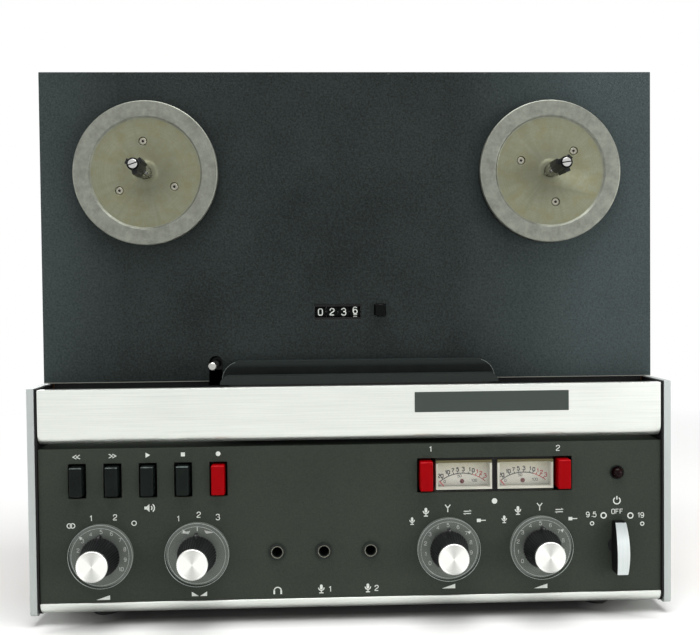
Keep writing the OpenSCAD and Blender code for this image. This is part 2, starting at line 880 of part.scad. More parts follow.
// Round indicator lamp behind the panel, with a dome in front
module indicator_lamp() {
  color("darkred") {
    rod([lever_x, panel_y - 1, key_z], sheet_t + 1, lamp_r);
    rod([lever_x, panel_back, key_z], 6, lamp_r + 2);
    intersection() {
      translate([lever_x, panel_y - 1, key_z]) sphere(lamp_r);
      block([lever_x - lamp_r - 1, panel_y - lamp_r - 2, key_z - lamp_r - 1],
        [lever_x + lamp_r + 1, panel_y - 1, key_z + lamp_r + 1]);
    }
  }
}

// Counter frame on the back of the chassis: cheeks, wheel shaft, back plate and the reset button's guide
module counter_frame() {
  x0 = counter_x - counter_w / 2 - cheek_t;
  x1 = counter_x + counter_w / 2;
  plate_t = 1.5;
  back_t = 3;
  low = counter_z - opening_h;
  top = counter_z + opening_h;
  w = stem_w / 2 + slide_gap;
  pocket_z = counter_z + 1;
  color("dimgray") difference() {
    union() {
      difference() {
        block([x0 - 8, cabinet_y, low - frame_margin],
          [guide_x1 + 8, cabinet_y + plate_t, top + frame_margin]);
        block([x0, cabinet_y - 1, low], [guide_x1 + 2, cabinet_y + plate_t + 1, top]);
      }
      for (x = [x0, x1]) block([x, cabinet_y, low - 2], [x + cheek_t, frame_y1, top + 2]);
      block([x0, frame_y1, low - 2], [guide_x1 + 2, frame_y1 + back_t, top + 2]);
      block([guide_x0, frame_y1 - reset_guide_d, pocket_z - 5], [guide_x1, frame_y1, pocket_z + 5]);
      bar([x0, wheel_y, counter_z], x1 + cheek_t - x0, wheel_shaft_r);
    }
    block([reset_x - w, frame_y1 - reset_guide_d - 1, pocket_z - w],
      [reset_x + w, frame_y1 - 2, pocket_z + w]);
    rod([counter_x, frame_y1 - 1, counter_z], back_t + 2, wheel_shaft_r + run_gap);
  }
}

// Digit wheel by its number, from the left
module digit_wheel(i) {
  x = counter_x + (i - 1.5) * wheel_pitch - wheel_w / 2;
  color("black") difference() {
    bar([x, wheel_y, counter_z], wheel_w, wheel_r);
    bar([x - 1, wheel_y, counter_z], wheel_w + 2, wheel_bore_r);
  }
}

module thousands_wheel() {
  digit_wheel(0);
}

module hundreds_wheel() {
  digit_wheel(1);
}

module tens_wheel() {
  digit_wheel(2);
}

module units_wheel() {
  digit_wheel(3);
}

// Square reset button with a stem in the counter's guide
module reset_key() {
  z = counter_z + 1;
  cap_y1 = frame_y1 - reset_guide_d - reset_travel - 1;
  color("black") {
    block([reset_x - reset_w / 2, deck_y - reset_out, z - reset_h / 2],
      [reset_x + reset_w / 2, cap_y1, z + reset_h / 2]);
    block([reset_x - stem_w / 2, cap_y1, z - stem_w / 2],
      [reset_x + stem_w / 2, frame_y1 - 3 - reset_travel, z + stem_w / 2]);
  }
}

// Pulley behind the counter, on a shaft in the counter's back plate
module counter_pulley() {
  color("darkgray") {
    rod([counter_x, frame_y1, counter_z], pulley_y - frame_y1, wheel_shaft_r);
    rod([counter_x, pulley_y, counter_z], pulley_t, pulley_r);
  }
}

// Belt from the right reel motor to the counter: two straight runs and two half rings
module counter_belt() {
  span = [reel_x[1] - counter_x, reel_z - counter_z];
  len = norm(span);
  r0 = pulley_r + run_gap;
  r1 = r0 + belt_t;
  w = pulley_t - 1;
  color("black") translate([counter_x, pulley_y + 0.5, counter_z]) rotate([0, -atan2(span[1], span[0]), 0]) {
    for (z = [r0, -r1]) block([0, 0, z], [len, w, z + belt_t]);
    for (end = [0, 1])
      intersection() {
        difference() {
          rod([end * len, 0, 0], w, r1);
          rod([end * len, -1, 0], w + 2, r0);
        }
        block([end * len - (1 - end) * (r1 + 1), 0, -r1 - 1], [end * (len + r1 + 1), w, r1 + 1]);
      }
  }
}

// Turntable: raised outer ring, sunk middle, low boss, brake drum behind and three counterbores
module turntable(i) {
  turn = [94, 40][i];
  boss_r = 9;
  top = deck_y - table_h;
  color("darkkhaki") difference() {
    turned([reel_x[i], top, reel_z], [
      [spindle_r + run_gap, 0.1], [spindle_r + 2, 0.1], [boss_r, sunk],
      [table_sunk_r - sunk_slope, sunk], [table_sunk_r, 0],
      [table_r - 0.6, 0], [table_r, 0.6], [table_r, disc_t], [drum_r, disc_t], [drum_r, table_h - side_gap],
      [spindle_r + run_gap, table_h - side_gap]
    ]);
    for (k = [0:2]) {
      a = turn + 120 * k;
      rod([reel_x[i] + screw_ring_r * cos(a), top - 1, reel_z + screw_ring_r * sin(a)],
        1 + sunk + screw_hole_d, screw_hole_r);
    }
  }
}

module left_turntable() {
  turntable(0);
}

module right_turntable() {
  turntable(1);
}

// Spindle with three splines, a thin core and a screw head in front, and the motor bell behind
module spindle(i, turn) {
  x = reel_x[i];
  spline_y = deck_y - table_h - spline_len;
  spline_w = 1.6;
  spline_r = lobe_r - 0.2;
  motor_end = cabinet_y + bell_gap + reel_bell_d - bell_t + 1;
  color("silver") {
    rod([x, spline_y, reel_z], motor_end - spline_y, spindle_r);
    rod([x, tip_y + head_t, reel_z], spline_y - tip_y - head_t + 1, core_r);
    rod([x, tip_y, reel_z], head_t, head_r);
    for (k = [0:2]) translate([x, spline_y + 1, reel_z]) rotate([0, turn + 120 * k, 0])
      block([-spline_w / 2, 0, 0], [spline_w / 2, spline_len - 1.2, spline_r]);
    bell(x, reel_z, reel_bell_r, reel_bell_d);
  }
}

module left_spindle() {
  spindle(0, 0);
}

// The right motor also carries the counter's pulley
module right_spindle() {
  spindle(1, 0);
  color("silver") rod([reel_x[1], pulley_y - 1, reel_z], pulley_t + 1, pulley_r);
}

// Three-lobed sleeve that locks a reel on its spindle
module reel_lock(i, turn) {
  x = reel_x[i];
  y0 = tip_y + 0.4;
  lobe_y0 = y0 + 3;
  lobe_y1 = lock_y1 - 3;
  lobe_w = 3.4;
  color("black") difference() {
    union() {
      rod([x, y0, reel_z], lock_y1 - y0, spindle_r - 0.1);
      for (k = [0:2]) translate([x, 0, reel_z]) rotate([0, turn + 120 * k, 0])
        block([-lobe_w / 2, lobe_y0, 0], [lobe_w / 2, lobe_y1, lobe_r]);
    }
    rod([x, y0 - 1, reel_z], lock_y1 - y0 + 2, core_r + run_gap);
    rod([x, y0 - 1, reel_z], 1 + head_t + run_gap, head_r + run_gap);
  }
}

module left_reel_lock() {
  reel_lock(0, lock_turn[0]);
}

module right_reel_lock() {
  reel_lock(1, lock_turn[1]);
}

// Hinged flap: upright sheet with a folded top, a rolled lower edge and a pin at each end
module flap() {
  fold_d = 4;
  fold_t = 1.5;
  color("gainsboro") {
    rolled_edge(flap_x, roll_y, roll_z, 2.5);
    block([-flap_x, trim_y, roll_z], [flap_x, trim_y + sheet_t, flap_top]);
    block([-flap_x, trim_y + sheet_t, flap_top - fold_t], [flap_x, trim_y + sheet_t + fold_d, flap_top]);
    for (side = [-1, 1]) {
      ear_x = side > 0 ? flap_x - ear_t : -flap_x;
      pin_x = side > 0 ? flap_x : -flap_x - pin_len;
      bar([ear_x, hinge_y, hinge_z], ear_t, ear_r);
      bar([pin_x, hinge_y, hinge_z], pin_len, pin_r);
    }
  }
}

// Capstan shaft on its motor bell
module capstan() {
  y0 = deck_y - cover_out - 1;
  color("silver") {
    rod([capstan_x, y0, capstan_z], cabinet_y + bell_gap + capstan_bell_d - y0, capstan_r);
    bell(capstan_x, capstan_z, capstan_bell_r, capstan_bell_d);
  }
}

// Arm of the pinch roller, on the chassis post, with the roller's axle
module pinch_arm() {
  y0 = chassis_y - 7;
  t = 3;
  half_h = 5;
  color("gray") {
    difference() {
      union() {
        block([arm_x, y0, roller_z - half_h], [capstan_x, y0 + t, roller_z + half_h]);
        for (x = [arm_x, capstan_x]) rod([x, y0, roller_z], t, half_h);
      }
      rod([arm_x, y0 - 1, roller_z], t + 2, post_r + run_gap);
    }
    rod([capstan_x, deck_y - cover_out, roller_z], y0 - deck_y + cover_out, axle_r);
  }
}

// Rubber pinch roller
module pinch_roller() {
  y0 = deck_y - cover_out + 0.5;
  y1 = chassis_y - 7.3;
  color("black") difference() {
    rod([capstan_x, y0, roller_z], y1 - y0, roller_r);
    rod([capstan_x, y0 - 1, roller_z], y1 - y0 + 2, axle_r + run_gap);
  }
}

// Swinging tape guide: an arm behind the chassis and a pin through the deck's slot
module guide_arm() {
  y0 = cabinet_y + 0.5;
  t = 3;
  half_h = 4.5;
  x1 = guide_x + guide_arm_len;
  color("black") {
    difference() {
      union() {
        block([guide_x, y0, guide_z - half_h], [x1, y0 + t, guide_z + half_h]);
        for (x = [guide_x, x1]) rod([x, y0, guide_z], t, half_h);
      }
      rod([x1, y0 - 1, guide_z], t + 2, post_r + run_gap);
    }
    rod([guide_x, deck_y - cover_out + 1, guide_z], y0 - deck_y + cover_out - 1, guide_r);
  }
}

cabinet();
rear_cover();
connector_panel();
feet();
chassis();
deck_plate();
control_tray();
side_plates();
side_strips();
control_panel();
compartment_floor();
head_cover();
head_carrier();
tape_heads();
motor_stators();
power_transformer();
circuit_boards();
vu_meters();
meter_windows();
jack_sockets();
control_pots();
key_bank();
counter_frame();
counter_belt();
indicator_lamp();
counter_pulley();
left_turntable();
left_spindle();
left_reel_lock();
right_turntable();
right_spindle();
right_reel_lock();
flap();
rewind_key();
forward_key();
play_key();
stop_key();
record_key();
channel_1_key();
channel_2_key();
volume_knob();
balance_knob();
level_1_knob();
level_2_knob();
monitor_dial();
source_dial();
input_1_dial();
input_2_dial();
power_lever();
reset_key();
thousands_wheel();
hundreds_wheel();
tens_wheel();
units_wheel();
capstan();
pinch_arm();
pinch_roller();
left_needle();
right_needle();
guide_arm();
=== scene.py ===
"""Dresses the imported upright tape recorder: finishes, printed marks, knobs, meters, light and camera."""

import json
import logging
import math
from dataclasses import dataclass
from enum import Enum
from typing import Any, Callable, Iterable, Optional, Sequence

import bmesh
import bpy
import numpy as np
from mathutils import Euler, Matrix, Vector

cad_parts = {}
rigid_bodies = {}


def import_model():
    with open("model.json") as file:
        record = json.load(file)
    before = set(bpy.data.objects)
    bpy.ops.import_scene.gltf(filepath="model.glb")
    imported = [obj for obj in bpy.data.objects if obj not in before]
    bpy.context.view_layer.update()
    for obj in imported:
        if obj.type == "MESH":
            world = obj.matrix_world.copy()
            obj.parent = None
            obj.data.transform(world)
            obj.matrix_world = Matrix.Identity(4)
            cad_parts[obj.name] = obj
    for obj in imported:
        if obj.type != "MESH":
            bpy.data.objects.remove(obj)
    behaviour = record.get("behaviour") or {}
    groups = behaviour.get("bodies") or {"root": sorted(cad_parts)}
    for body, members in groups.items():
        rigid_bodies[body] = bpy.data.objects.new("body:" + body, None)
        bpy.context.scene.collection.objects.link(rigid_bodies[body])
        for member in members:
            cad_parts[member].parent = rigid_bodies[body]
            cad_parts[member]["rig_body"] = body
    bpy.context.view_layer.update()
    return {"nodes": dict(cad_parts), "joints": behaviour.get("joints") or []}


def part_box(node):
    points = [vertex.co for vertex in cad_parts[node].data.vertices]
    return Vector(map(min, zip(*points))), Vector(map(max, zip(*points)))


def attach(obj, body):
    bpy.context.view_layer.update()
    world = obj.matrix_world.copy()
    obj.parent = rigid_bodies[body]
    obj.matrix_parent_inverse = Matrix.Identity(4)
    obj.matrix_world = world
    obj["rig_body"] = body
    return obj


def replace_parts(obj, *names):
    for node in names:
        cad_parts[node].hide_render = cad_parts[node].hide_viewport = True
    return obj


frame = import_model()

MM = 0.001
LOG = logging.getLogger("recorder")
Socket = bpy.types.NodeSocket
Colour = tuple[float, float, float, float]
Point = tuple[float, float]


def tone(red: float, green: float, blue: float) -> Colour:
    """Turns a screen colour of 0 to 255 into the linear colour of a shader socket.

    Args:
        red: Red share on screen.
        green: Green share on screen.
        blue: Blue share on screen.

    Returns:
        Linear red, green, blue and a full alpha.
    """
    share = np.array([red, green, blue]) / 255.0
    linear = np.where(share <= 0.04045, share / 12.92, ((share + 0.055) / 1.055) ** 2.4)
    return (float(linear[0]), float(linear[1]), float(linear[2]), 1.0)


def scaled(colour: Colour, share: float) -> Colour:
    """A colour with its three parts multiplied by a share, none of them over 1."""
    red, green, blue = (min(1.0, part * share) for part in colour[:3])
    return (red, green, blue, 1.0)


def seen_directly(tree: bpy.types.NodeTree) -> Socket:
    """Largest of a ray's camera, glossy and transmission flags.

    Args:
        tree: Node tree that the flags are added to.

    Returns:
        The socket of the largest flag.
    """
    flags = tree.nodes.new("ShaderNodeLightPath").outputs
    largest = flags["Is Camera Ray"]
    for name in ("Is Glossy Ray", "Is Transmission Ray"):
        node = tree.nodes.new("ShaderNodeMath")
        node.operation = "MAXIMUM"
        tree.links.new(largest, node.inputs[0])
        tree.links.new(flags[name], node.inputs[1])
        largest = node.outputs[0]
    return largest


class Grain(Enum):
    """Axis along which brushing or wood grain runs."""

    ACROSS = 0
    DEEP = 1
    UPRIGHT = 2

    def cells(self, long_mm: float, fine_mm: float) -> tuple[float, float, float]:
        """Returns a noise cell that is long on this axis and fine on the two others.

        Args:
            long_mm: Size along the grain.
            fine_mm: Size across it.

        Returns:
            Sizes on the three axes.
        """
        sizes = [fine_mm, fine_mm, fine_mm]
        sizes[self.value] = long_mm
        return (sizes[0], sizes[1], sizes[2])


class Graph:
    """Shader nodes of one material, each added and linked with one call."""

    def __init__(self, name: str) -> None:
        """Starts a material that holds its Principled shader.

        Args:
            name: Name of the material.
        """
        self.material = bpy.data.materials.new(name)
        self.material.use_nodes = True
        self.tree = self.material.node_tree
        self.shader = next(n for n in self.tree.nodes if n.type == "BSDF_PRINCIPLED")
        self.place: Socket = self.add("ShaderNodeTexCoord").outputs["Object"]

    def put(self, socket: Socket, value: Any) -> None:
        """Links a socket to another one, or sets it to a plain value.

        Args:
            socket: Input to fill.
            value: Another socket, or a plain value.
        """
        if isinstance(value, Socket):
            self.tree.links.new(value, socket)
        else:
            socket.default_value = value

    def add(self, kind: str, values: Optional[dict] = None, **settings: Any) -> bpy.types.Node:
        """Adds a node.

        Args:
            kind: Blender's type name of the node.
            values: Input names or numbers, with sockets or plain values.
            settings: Properties of the node.

        Returns:
            The new node.
        """
        node = self.tree.nodes.new(kind)
        for key, value in settings.items():
            setattr(node, key, value)
        for key, value in (values or {}).items():
            self.put(node.inputs[key], value)
        return node

    def cells(self, size_mm: Sequence[float], shift: Sequence[float] = (0, 0, 0)) -> Socket:
        """Object coordinates counted in cells.

        Args:
            size_mm: Size of a cell on each axis.
            shift: Shift of the pattern, in cells.

        Returns:
            The vector socket.
        """
        scale = tuple(1.0 / (MM * s) for s in size_mm)
        values = {"Vector": self.place, "Scale": scale, "Location": tuple(shift)}
        return self.add("ShaderNodeMapping", values).outputs[0]

    def noise(self, vector: Socket, detail: float = 3.0, roughness: float = 0.55) -> Socket:
        """Cloudy noise of one feature per cell of the vector, from 0 to 1."""
        values = {"Vector": vector, "Scale": 1.0, "Detail": detail, "Roughness": roughness}
        return self.add("ShaderNodeTexNoise", values).outputs[0]

    def spread(self, value: Socket, low: float, high: float, start: float = 0.0, end: float = 1.0) -> Socket:
        """Maps low..high to start..end and holds the ends."""
        values = {0: value, 1: low, 2: high, 3: start, 4: end}
        return self.add("ShaderNodeMapRange", values).outputs[0]

    def rise(self, place: Socket, low_mm: float, high_mm: float, start: float = 0.0,
             end: float = 1.0) -> Socket:
        """Maps a coordinate between two places in millimetres to start..end and holds the ends."""
        return self.spread(place, low_mm * MM, high_mm * MM, start, end)

    def sum(self, operation: str, first: Any, second: Any = 0.0) -> Socket:
        """One step of arithmetic on two values."""
        return self.add("ShaderNodeMath", {0: first, 1: second}, operation=operation).outputs[0]

    def blend(self, factor: Socket, first: Any, second: Any) -> Socket:
        """Colour between two colours."""
        return self.add("ShaderNodeMix", {0: factor, 6: first, 7: second}, data_type="RGBA").outputs[2]

    def axes(self) -> tuple[Socket, Socket, Socket]:
        """Object coordinates as three single values."""
        out = self.add("ShaderNodeSeparateXYZ", {0: self.place}).outputs
        return out[0], out[1], out[2]

    def base(self) -> Socket:
        """The socket that feeds the base colour so far."""
        return self.shader.inputs["Base Color"].links[0].from_socket

    def vector(self, x: Any, y: Any, z: Any) -> Socket:
        """Three single values as one vector."""
        return self.add("ShaderNodeCombineXYZ", {0: x, 1: y, 2: z}).outputs[0]

    def relief(self, height: Socket, depth_mm: float, under: Optional[Socket] = None) -> Socket:
        """Bumped normal.

        Args:
            height: Height of the surface, from 0 to 1.
            depth_mm: Height that stands for 1.
            under: Normal that this one is laid on.

        Returns:
            The normal socket.
        """
        values: dict = {"Height": height, "Distance": depth_mm * MM, "Strength": 1.0}
        if under is not None:
            values["Normal"] = under
        return self.add("ShaderNodeBump", values).outputs[0]

    def shade(self, **sockets: Any) -> None:
        """Sets sockets of the shader: base_color means Base Color."""
        for key, value in sockets.items():
            self.put(self.shader.inputs[key.replace("_", " ").title().replace("Ior", "IOR")], value)


_MADE: dict["Finish", bpy.types.Material] = {}


@dataclass(frozen=True)
class Finish:
    """A surface finish; its material is made once."""

    name: str

    def wire(self, g: Graph) -> None:
        """Adds the finish's nodes to a material."""
        raise NotImplementedError

    def material(self) -> bpy.types.Material:
        """Returns the finish's material.

        Returns:
            The material.
        """
        if self not in _MADE:
            graph = Graph("finish_" + self.name)
            self.wire(graph)
            _MADE[self] = graph.material
        return _MADE[self]


@dataclass(frozen=True)
class GrainedPaint(Finish):
    """Matte paint with a fine leathery grain, faint clouds, hair scratches, chips near an upper edge and a
    painted sheen towards its two sides.
    """

    colour: Colour
    light: Colour
    roughness: float = 0.55
    grain_mm: float = 1.0
    depth_mm: float = 0.07
    gloss: float = 0.2
    chips_above_mm: float = 10000.0
    bare_below_mm: float = -10000.0
    dusty: float = 0.0
    dusty_mm: Point = (110.0, 205.0)
    dusty_centre_mm: float = -40.0
    dust: Colour = tone(108, 122, 124)
    primer: Colour = tone(132, 136, 134)
    bare: Colour = tone(196, 196, 186)

    def wire(self, g: Graph) -> None:
        """Grain is a fine noise in colour and height; chips are specks above a height, scratches thin noise.

        Below another height the colour turns pale along the lower edge; towards the two sides a paler
        blue-grey painted sheen comes in.

        Args:
            g: Nodes of the material.
        """
        grain = g.noise(g.cells((self.grain_mm,) * 3), 4.0, 0.65)
        cloud = g.noise(g.cells((90.0,) * 3), 3.0)
        speck = g.sum("ADD", g.spread(grain, 0.28, 0.72), g.spread(cloud, 0.3, 0.7, -0.25, 0.25))
        colour = g.blend(speck, self.colour, self.light)
        x, _, z = g.axes()
        # Painted sheen: away from a middle line the colour turns a paler blue-grey, standing in for light on
        # the paint.
        away = g.sum("ABSOLUTE", g.sum("SUBTRACT", x, self.dusty_centre_mm * MM))
        dust = g.rise(away, *self.dusty_mm, 0.0, self.dusty)
        colour = g.blend(g.sum("MULTIPLY", dust, g.spread(grain, 0.3, 0.7, 0.6, 1.0)), colour, self.dust)
        scratch = g.spread(g.noise(g.cells((14.0, 5.0, 0.45), (3.1, 0, 7.7)), 2.0), 0.75, 0.8, 0.0, 0.12)
        top = g.rise(z, self.chips_above_mm, self.chips_above_mm + 4.0)
        specks = g.spread(g.noise(g.cells((5.0, 2.0, 1.6)), 4.0, 0.65), 0.64, 0.72, 0.0, 0.35)
        chip = g.sum("MULTIPLY", top, specks)
        # Below a height the colour turns pale along the lower edge.
        pale_band = g.rise(z, self.bare_below_mm, self.bare_below_mm + 0.25, 0.85, 0.0)
        painted = g.blend(g.sum("MAXIMUM", scratch, chip), colour, self.primer)
        g.shade(
            base_color=g.blend(pale_band, painted, self.bare),
            roughness=g.spread(cloud, 0.3, 0.7, self.roughness - 0.05, self.roughness + 0.07),
            specular_ior_level=self.gloss,
            normal=g.relief(grain, self.depth_mm),
        )


@dataclass(frozen=True)
class Brushed(Finish):
    """Brushed or satin metal with fine streaks along one axis and a few handling marks."""

    colour: Colour
    dark: Colour
    grain: Grain = Grain.ACROSS
    roughness: float = 0.34
    depth_mm: float = 0.012
    streak_mm: float = 0.22
    metallic: float = 0.9
    gloss: float = 0.5

    def wire(self, g: Graph) -> None:
        """Streaks are noise stretched along the grain; smudges are wide clouds in the gloss.

        Args:
            g: Nodes of the material.
        """
        streak = g.noise(g.cells(self.grain.cells(45.0, self.streak_mm)), 4.0, 0.6)
        broad = g.noise(g.cells(self.grain.cells(160.0, 2.4)), 3.0)
        smudge = g.noise(g.cells((38.0,) * 3), 4.0)
        both = g.sum("ADD", streak, g.spread(broad, 0.0, 1.0, 0.42, 0.58))
        handled = g.sum("ADD", smudge, streak)
        g.shade(
            base_color=g.blend(g.spread(both, 0.55, 1.4), self.dark, self.colour),
            metallic=self.metallic,
            specular_ior_level=self.gloss,
            roughness=g.spread(handled, 0.6, 1.4, self.roughness - 0.05, self.roughness + 0.08),
            normal=g.relief(streak, self.depth_mm),
        )


@dataclass(frozen=True)
class Turned(Finish):
    """Lathe-turned metal round an axis along Y, with rings, radial streaks and cloudy patina."""

    colour: Colour
    dark: Colour
    stain: Colour
    centre_mm: Point
    ring_mm: float = 0.35
    patina_mm: float = 9.0
    roughness: float = 0.42
    metallic: float = 0.75
    depth_mm: float = 0.012

    def wire(self, g: Graph) -> None:
        """Radius is the root of x squared plus z squared from the axis; angle is their arctangent.

        Args:
            g: Nodes of the material.
        """
        x, y, z = g.axes()
        dx = g.sum("SUBTRACT", x, self.centre_mm[0] * MM)
        dz = g.sum("SUBTRACT", z, self.centre_mm[1] * MM)
        square = g.sum("ADD", g.sum("MULTIPLY", dx, dx), g.sum("MULTIPLY", dz, dz))
        radius = g.sum("POWER", square, 0.5)
        angle = g.sum("ARCTAN2", dz, dx)
        deep = g.sum("MULTIPLY", y, 1.0 / (0.4 * MM))
        ring = g.noise(g.vector(g.sum("MULTIPLY", radius, 1.0 / (self.ring_mm * MM)), 0.0, deep), 3.0)
        fan = g.vector(g.sum("MULTIPLY", angle, 9.0), g.sum("MULTIPLY", radius, 30.0), 0.5)
        spoke = g.noise(fan, 4.0, 0.6)
        cloud = g.noise(g.cells((self.patina_mm,) * 3), 8.0, 0.75)
        body = g.blend(g.spread(g.sum("ADD", ring, spoke), 0.7, 1.3), self.dark, self.colour)
        g.shade(
            base_color=g.blend(g.spread(cloud, 0.42, 0.66), body, self.stain),
            metallic=self.metallic,
            roughness=g.spread(cloud, 0.3, 0.7, self.roughness - 0.06, self.roughness + 0.1),
            normal=g.relief(g.sum("ADD", ring, g.sum("MULTIPLY", cloud, 0.5)), self.depth_mm),
        )


@dataclass(frozen=True)
class TableMetal(Turned):
    """Turned metal whose outer ring is paler than its middle, which darkens towards the axis."""

    ring: Colour = (0.3, 0.3, 0.28, 1.0)
    ring_from_mm: float = 35.2

    def wire(self, g: Graph) -> None:
        """Adds the ring and the dark middle to the turned metal by radius from the axis.

        Args:
            g: Nodes of the material.
        """
        super().wire(g)
        x, _, z = g.axes()
        flat = g.vector(g.sum("SUBTRACT", x, self.centre_mm[0] * MM), 0.0,
                        g.sum("SUBTRACT", z, self.centre_mm[1] * MM))
        radius = g.add("ShaderNodeVectorMath", {0: flat}, operation="LENGTH").outputs["Value"]
        body = g.base()
        worn = g.noise(g.cells((7.0,) * 3, (5, 2, 9)), 8.0, 0.75)
        pale = g.blend(g.spread(worn, 0.36, 0.64), self.ring, scaled(self.ring, 0.66))
        outer = g.blend(g.rise(radius, self.ring_from_mm, self.ring_from_mm + 1.0), body, pale)
        middle = g.rise(radius, 6.0, 26.0, 0.55, 0.0)
        g.shade(base_color=g.blend(middle, outer, scaled(self.dark, 0.55)))


@dataclass(frozen=True)
class SpunFace(Finish):
    """Spun aluminium: fine rings round the axis that spread a highlight into a bow tie, with a bow-tie
    highlight also painted into its colour.
    """

    colour: Colour
    roughness: float = 0.3
    spread_along: float = 0.8
    uv: str = "turned"

    def wire(self, g: Graph) -> None:
        """The highlight follows the piece's polar map: rings are noise on its radius; a painted bow-tie
        highlight in the colour follows its angle.

        Args:
            g: Nodes of the material.
        """
        place = g.add("ShaderNodeUVMap", uv_map=self.uv).outputs[0]
        stretched = g.add("ShaderNodeMapping", {"Vector": place, "Scale": (2.0, 9.0, 1.0)}).outputs[0]
        rings = g.noise(stretched, 4.0, 0.6)
        angle = g.add("ShaderNodeSeparateXYZ", {0: place}).outputs[0]
        # Painted highlight: a brighter bow tie by angle goes into the colour.
        tie = g.spread(g.sum("COSINE", g.sum("MULTIPLY", angle, 2.0)), -1.0, 0.1)
        both = g.sum("ADD", g.spread(rings, 0.3, 0.7, 0.0, 0.3), g.sum("MULTIPLY", tie, 0.8))
        g.shade(
            base_color=g.blend(both, scaled(self.colour, 0.55), self.colour),
            metallic=1.0,
            roughness=self.roughness,
            anisotropic=self.spread_along,
            tangent=g.add("ShaderNodeTangent", direction_type="UV_MAP", uv_map=self.uv).outputs[0],
            normal=g.relief(rings, 0.006),
        )


@dataclass(frozen=True)
class Moulded(Finish):
    """Moulded plastic, rubber or lacquer with a fine skin, faint clouds and dusty gloss."""

    colour: Colour
    light: Colour
    roughness: float = 0.42
    skin_mm: float = 0.35
    depth_mm: float = 0.015
    gloss: float = 0.35

    def wire(self, g: Graph) -> None:
        """Skin is fine noise in the normal; dust is a wide noise in colour and gloss.

        Args:
            g: Nodes of the material.
        """
        skin = g.noise(g.cells((self.skin_mm,) * 3), 3.0)
        dust = g.noise(g.cells((11.0,) * 3), 5.0, 0.62)
        both = g.sum("ADD", dust, g.sum("MULTIPLY", skin, 0.4))
        g.shade(
            base_color=g.blend(g.spread(both, 0.5, 0.95), self.colour, self.light),
            roughness=g.spread(dust, 0.3, 0.7, self.roughness - 0.06, self.roughness + 0.08),
            specular_ior_level=self.gloss,
            normal=g.relief(skin, self.depth_mm),
        )


@dataclass(frozen=True)
class KeyCap(Moulded):
    """Moulded key with a pale line along its upper front edge, a painted highlight."""

    rubbed: Colour = (0.3, 0.3, 0.3, 1.0)
    edge_mm: Point = (101.8, 102.1)
    front_mm: float = -83.5

    def wire(self, g: Graph) -> None:
        """The painted highlight is a band of the height on the front, broken up by a noise along the edge.

        Args:
            g: Nodes of the material.
        """
        super().wire(g)
        body = g.base()
        _, y, z = g.axes()
        low, high = self.edge_mm
        # Painted highlight along the key's upper front edge.
        line = g.sum("MULTIPLY", g.rise(z, low - 0.2, low + 0.1), g.rise(z, high, high + 0.2, 1.0, 0.0))
        line = g.sum("MULTIPLY", line, g.rise(y, self.front_mm, self.front_mm + 0.3, 1.0, 0.0))
        broken = g.spread(g.noise(g.cells((2.2, 40.0, 40.0), (2, 0, 0)), 2.0), 0.35, 0.6, 0.25, 1.0)
        g.shade(base_color=g.blend(g.sum("MULTIPLY", line, broken), body, self.rubbed))


@dataclass(frozen=True)
class ShadedCase(Moulded):
    """Meter case: pale plastic whose upper wall is painted a dull olive as shade."""

    upper: Colour = (0.1, 0.088, 0.035, 1.0)
    upper_from_mm: float = 100.6

    def wire(self, g: Graph) -> None:
        """The painted shade on the upper wall is found by height.

        Args:
            g: Nodes of the material.
        """
        super().wire(g)
        # Painted shade on the upper wall.
        high = g.rise(g.axes()[2], self.upper_from_mm - 0.1, self.upper_from_mm + 0.1)
        g.shade(base_color=g.blend(high, g.base(), self.upper))


@dataclass(frozen=True)
class CoverBands(Moulded):
    """Smoked cover: a pale top, a dark band below it and a grey front step; the pale top and the grey step
    are painted light.
    """

    top: Colour = (0.03, 0.03, 0.03, 1.0)
    step: Colour = (0.02, 0.02, 0.02, 1.0)
    band_mm: Point = (158.2, 163.4)

    def wire(self, g: Graph) -> None:
        """Bands are steps of the height with soft borders; the paler top and front step are painted
        reflection of the light.

        Args:
            g: Nodes of the material.
        """
        super().wire(g)
        z = g.axes()[2]
        low, high = self.band_mm
        # The paler top and front step are painted light.
        lower = g.blend(g.rise(z, low - 0.2, low + 0.2), self.step, g.base())
        g.shade(base_color=g.blend(g.rise(z, high - 0.7, high + 1.6), lower, self.top))


@dataclass(frozen=True)
class FadedCard(Moulded):
    """Meter card that turns darker and yellower towards its upper edge: painted shade below the case's upper
    wall.
    """

    aged: Colour = (0.4, 0.37, 0.25, 1.0)
    fade_mm: Point = (91.0, 102.0)

    def wire(self, g: Graph) -> None:
        """The painted shade comes in with height."""
        super().wire(g)
        g.shade(base_color=g.blend(g.rise(g.axes()[2], *self.fade_mm), g.base(), self.aged))


@dataclass(frozen=True)
class Wood(Finish):
    """Oiled veneer: wavy year rings stretched along the grain, with fine dark pores."""

    light: Colour
    dark: Colour
    grain: Grain = Grain.ACROSS

    def wire(self, g: Graph) -> None:
        """Rings are a noise of a long cell run through a ripple; pores are a finer, sharper one.

        Args:
            g: Nodes of the material.
        """
        wave = g.noise(g.cells(self.grain.cells(260.0, 22.0)), 4.0, 0.5)
        ripple = g.sum("FRACT", g.sum("MULTIPLY", wave, 9.0))
        ring = g.sum("PINGPONG", ripple, 0.5)
        fibre = g.noise(g.cells(self.grain.cells(30.0, 0.7)), 4.0, 0.6)
        pore = g.spread(g.noise(g.cells(self.grain.cells(9.0, 0.35), (4, 1, 2)), 2.0), 0.58, 0.7)
        mixed = g.sum("ADD", g.sum("MULTIPLY", ring, 1.1), g.sum("MULTIPLY", fibre, 0.9))
        body = g.blend(g.spread(mixed, 0.35, 1.0), self.dark, self.light)
        dark_pore = (self.dark[0] * 0.45, self.dark[1] * 0.4, self.dark[2] * 0.4, 1.0)
        g.shade(
            base_color=g.blend(g.sum("MULTIPLY", pore, 0.6), body, dark_pore),
            roughness=g.spread(fibre, 0.3, 0.7, 0.38, 0.52),
            normal=g.relief(g.sum("SUBTRACT", fibre, pore), 0.03),
        )


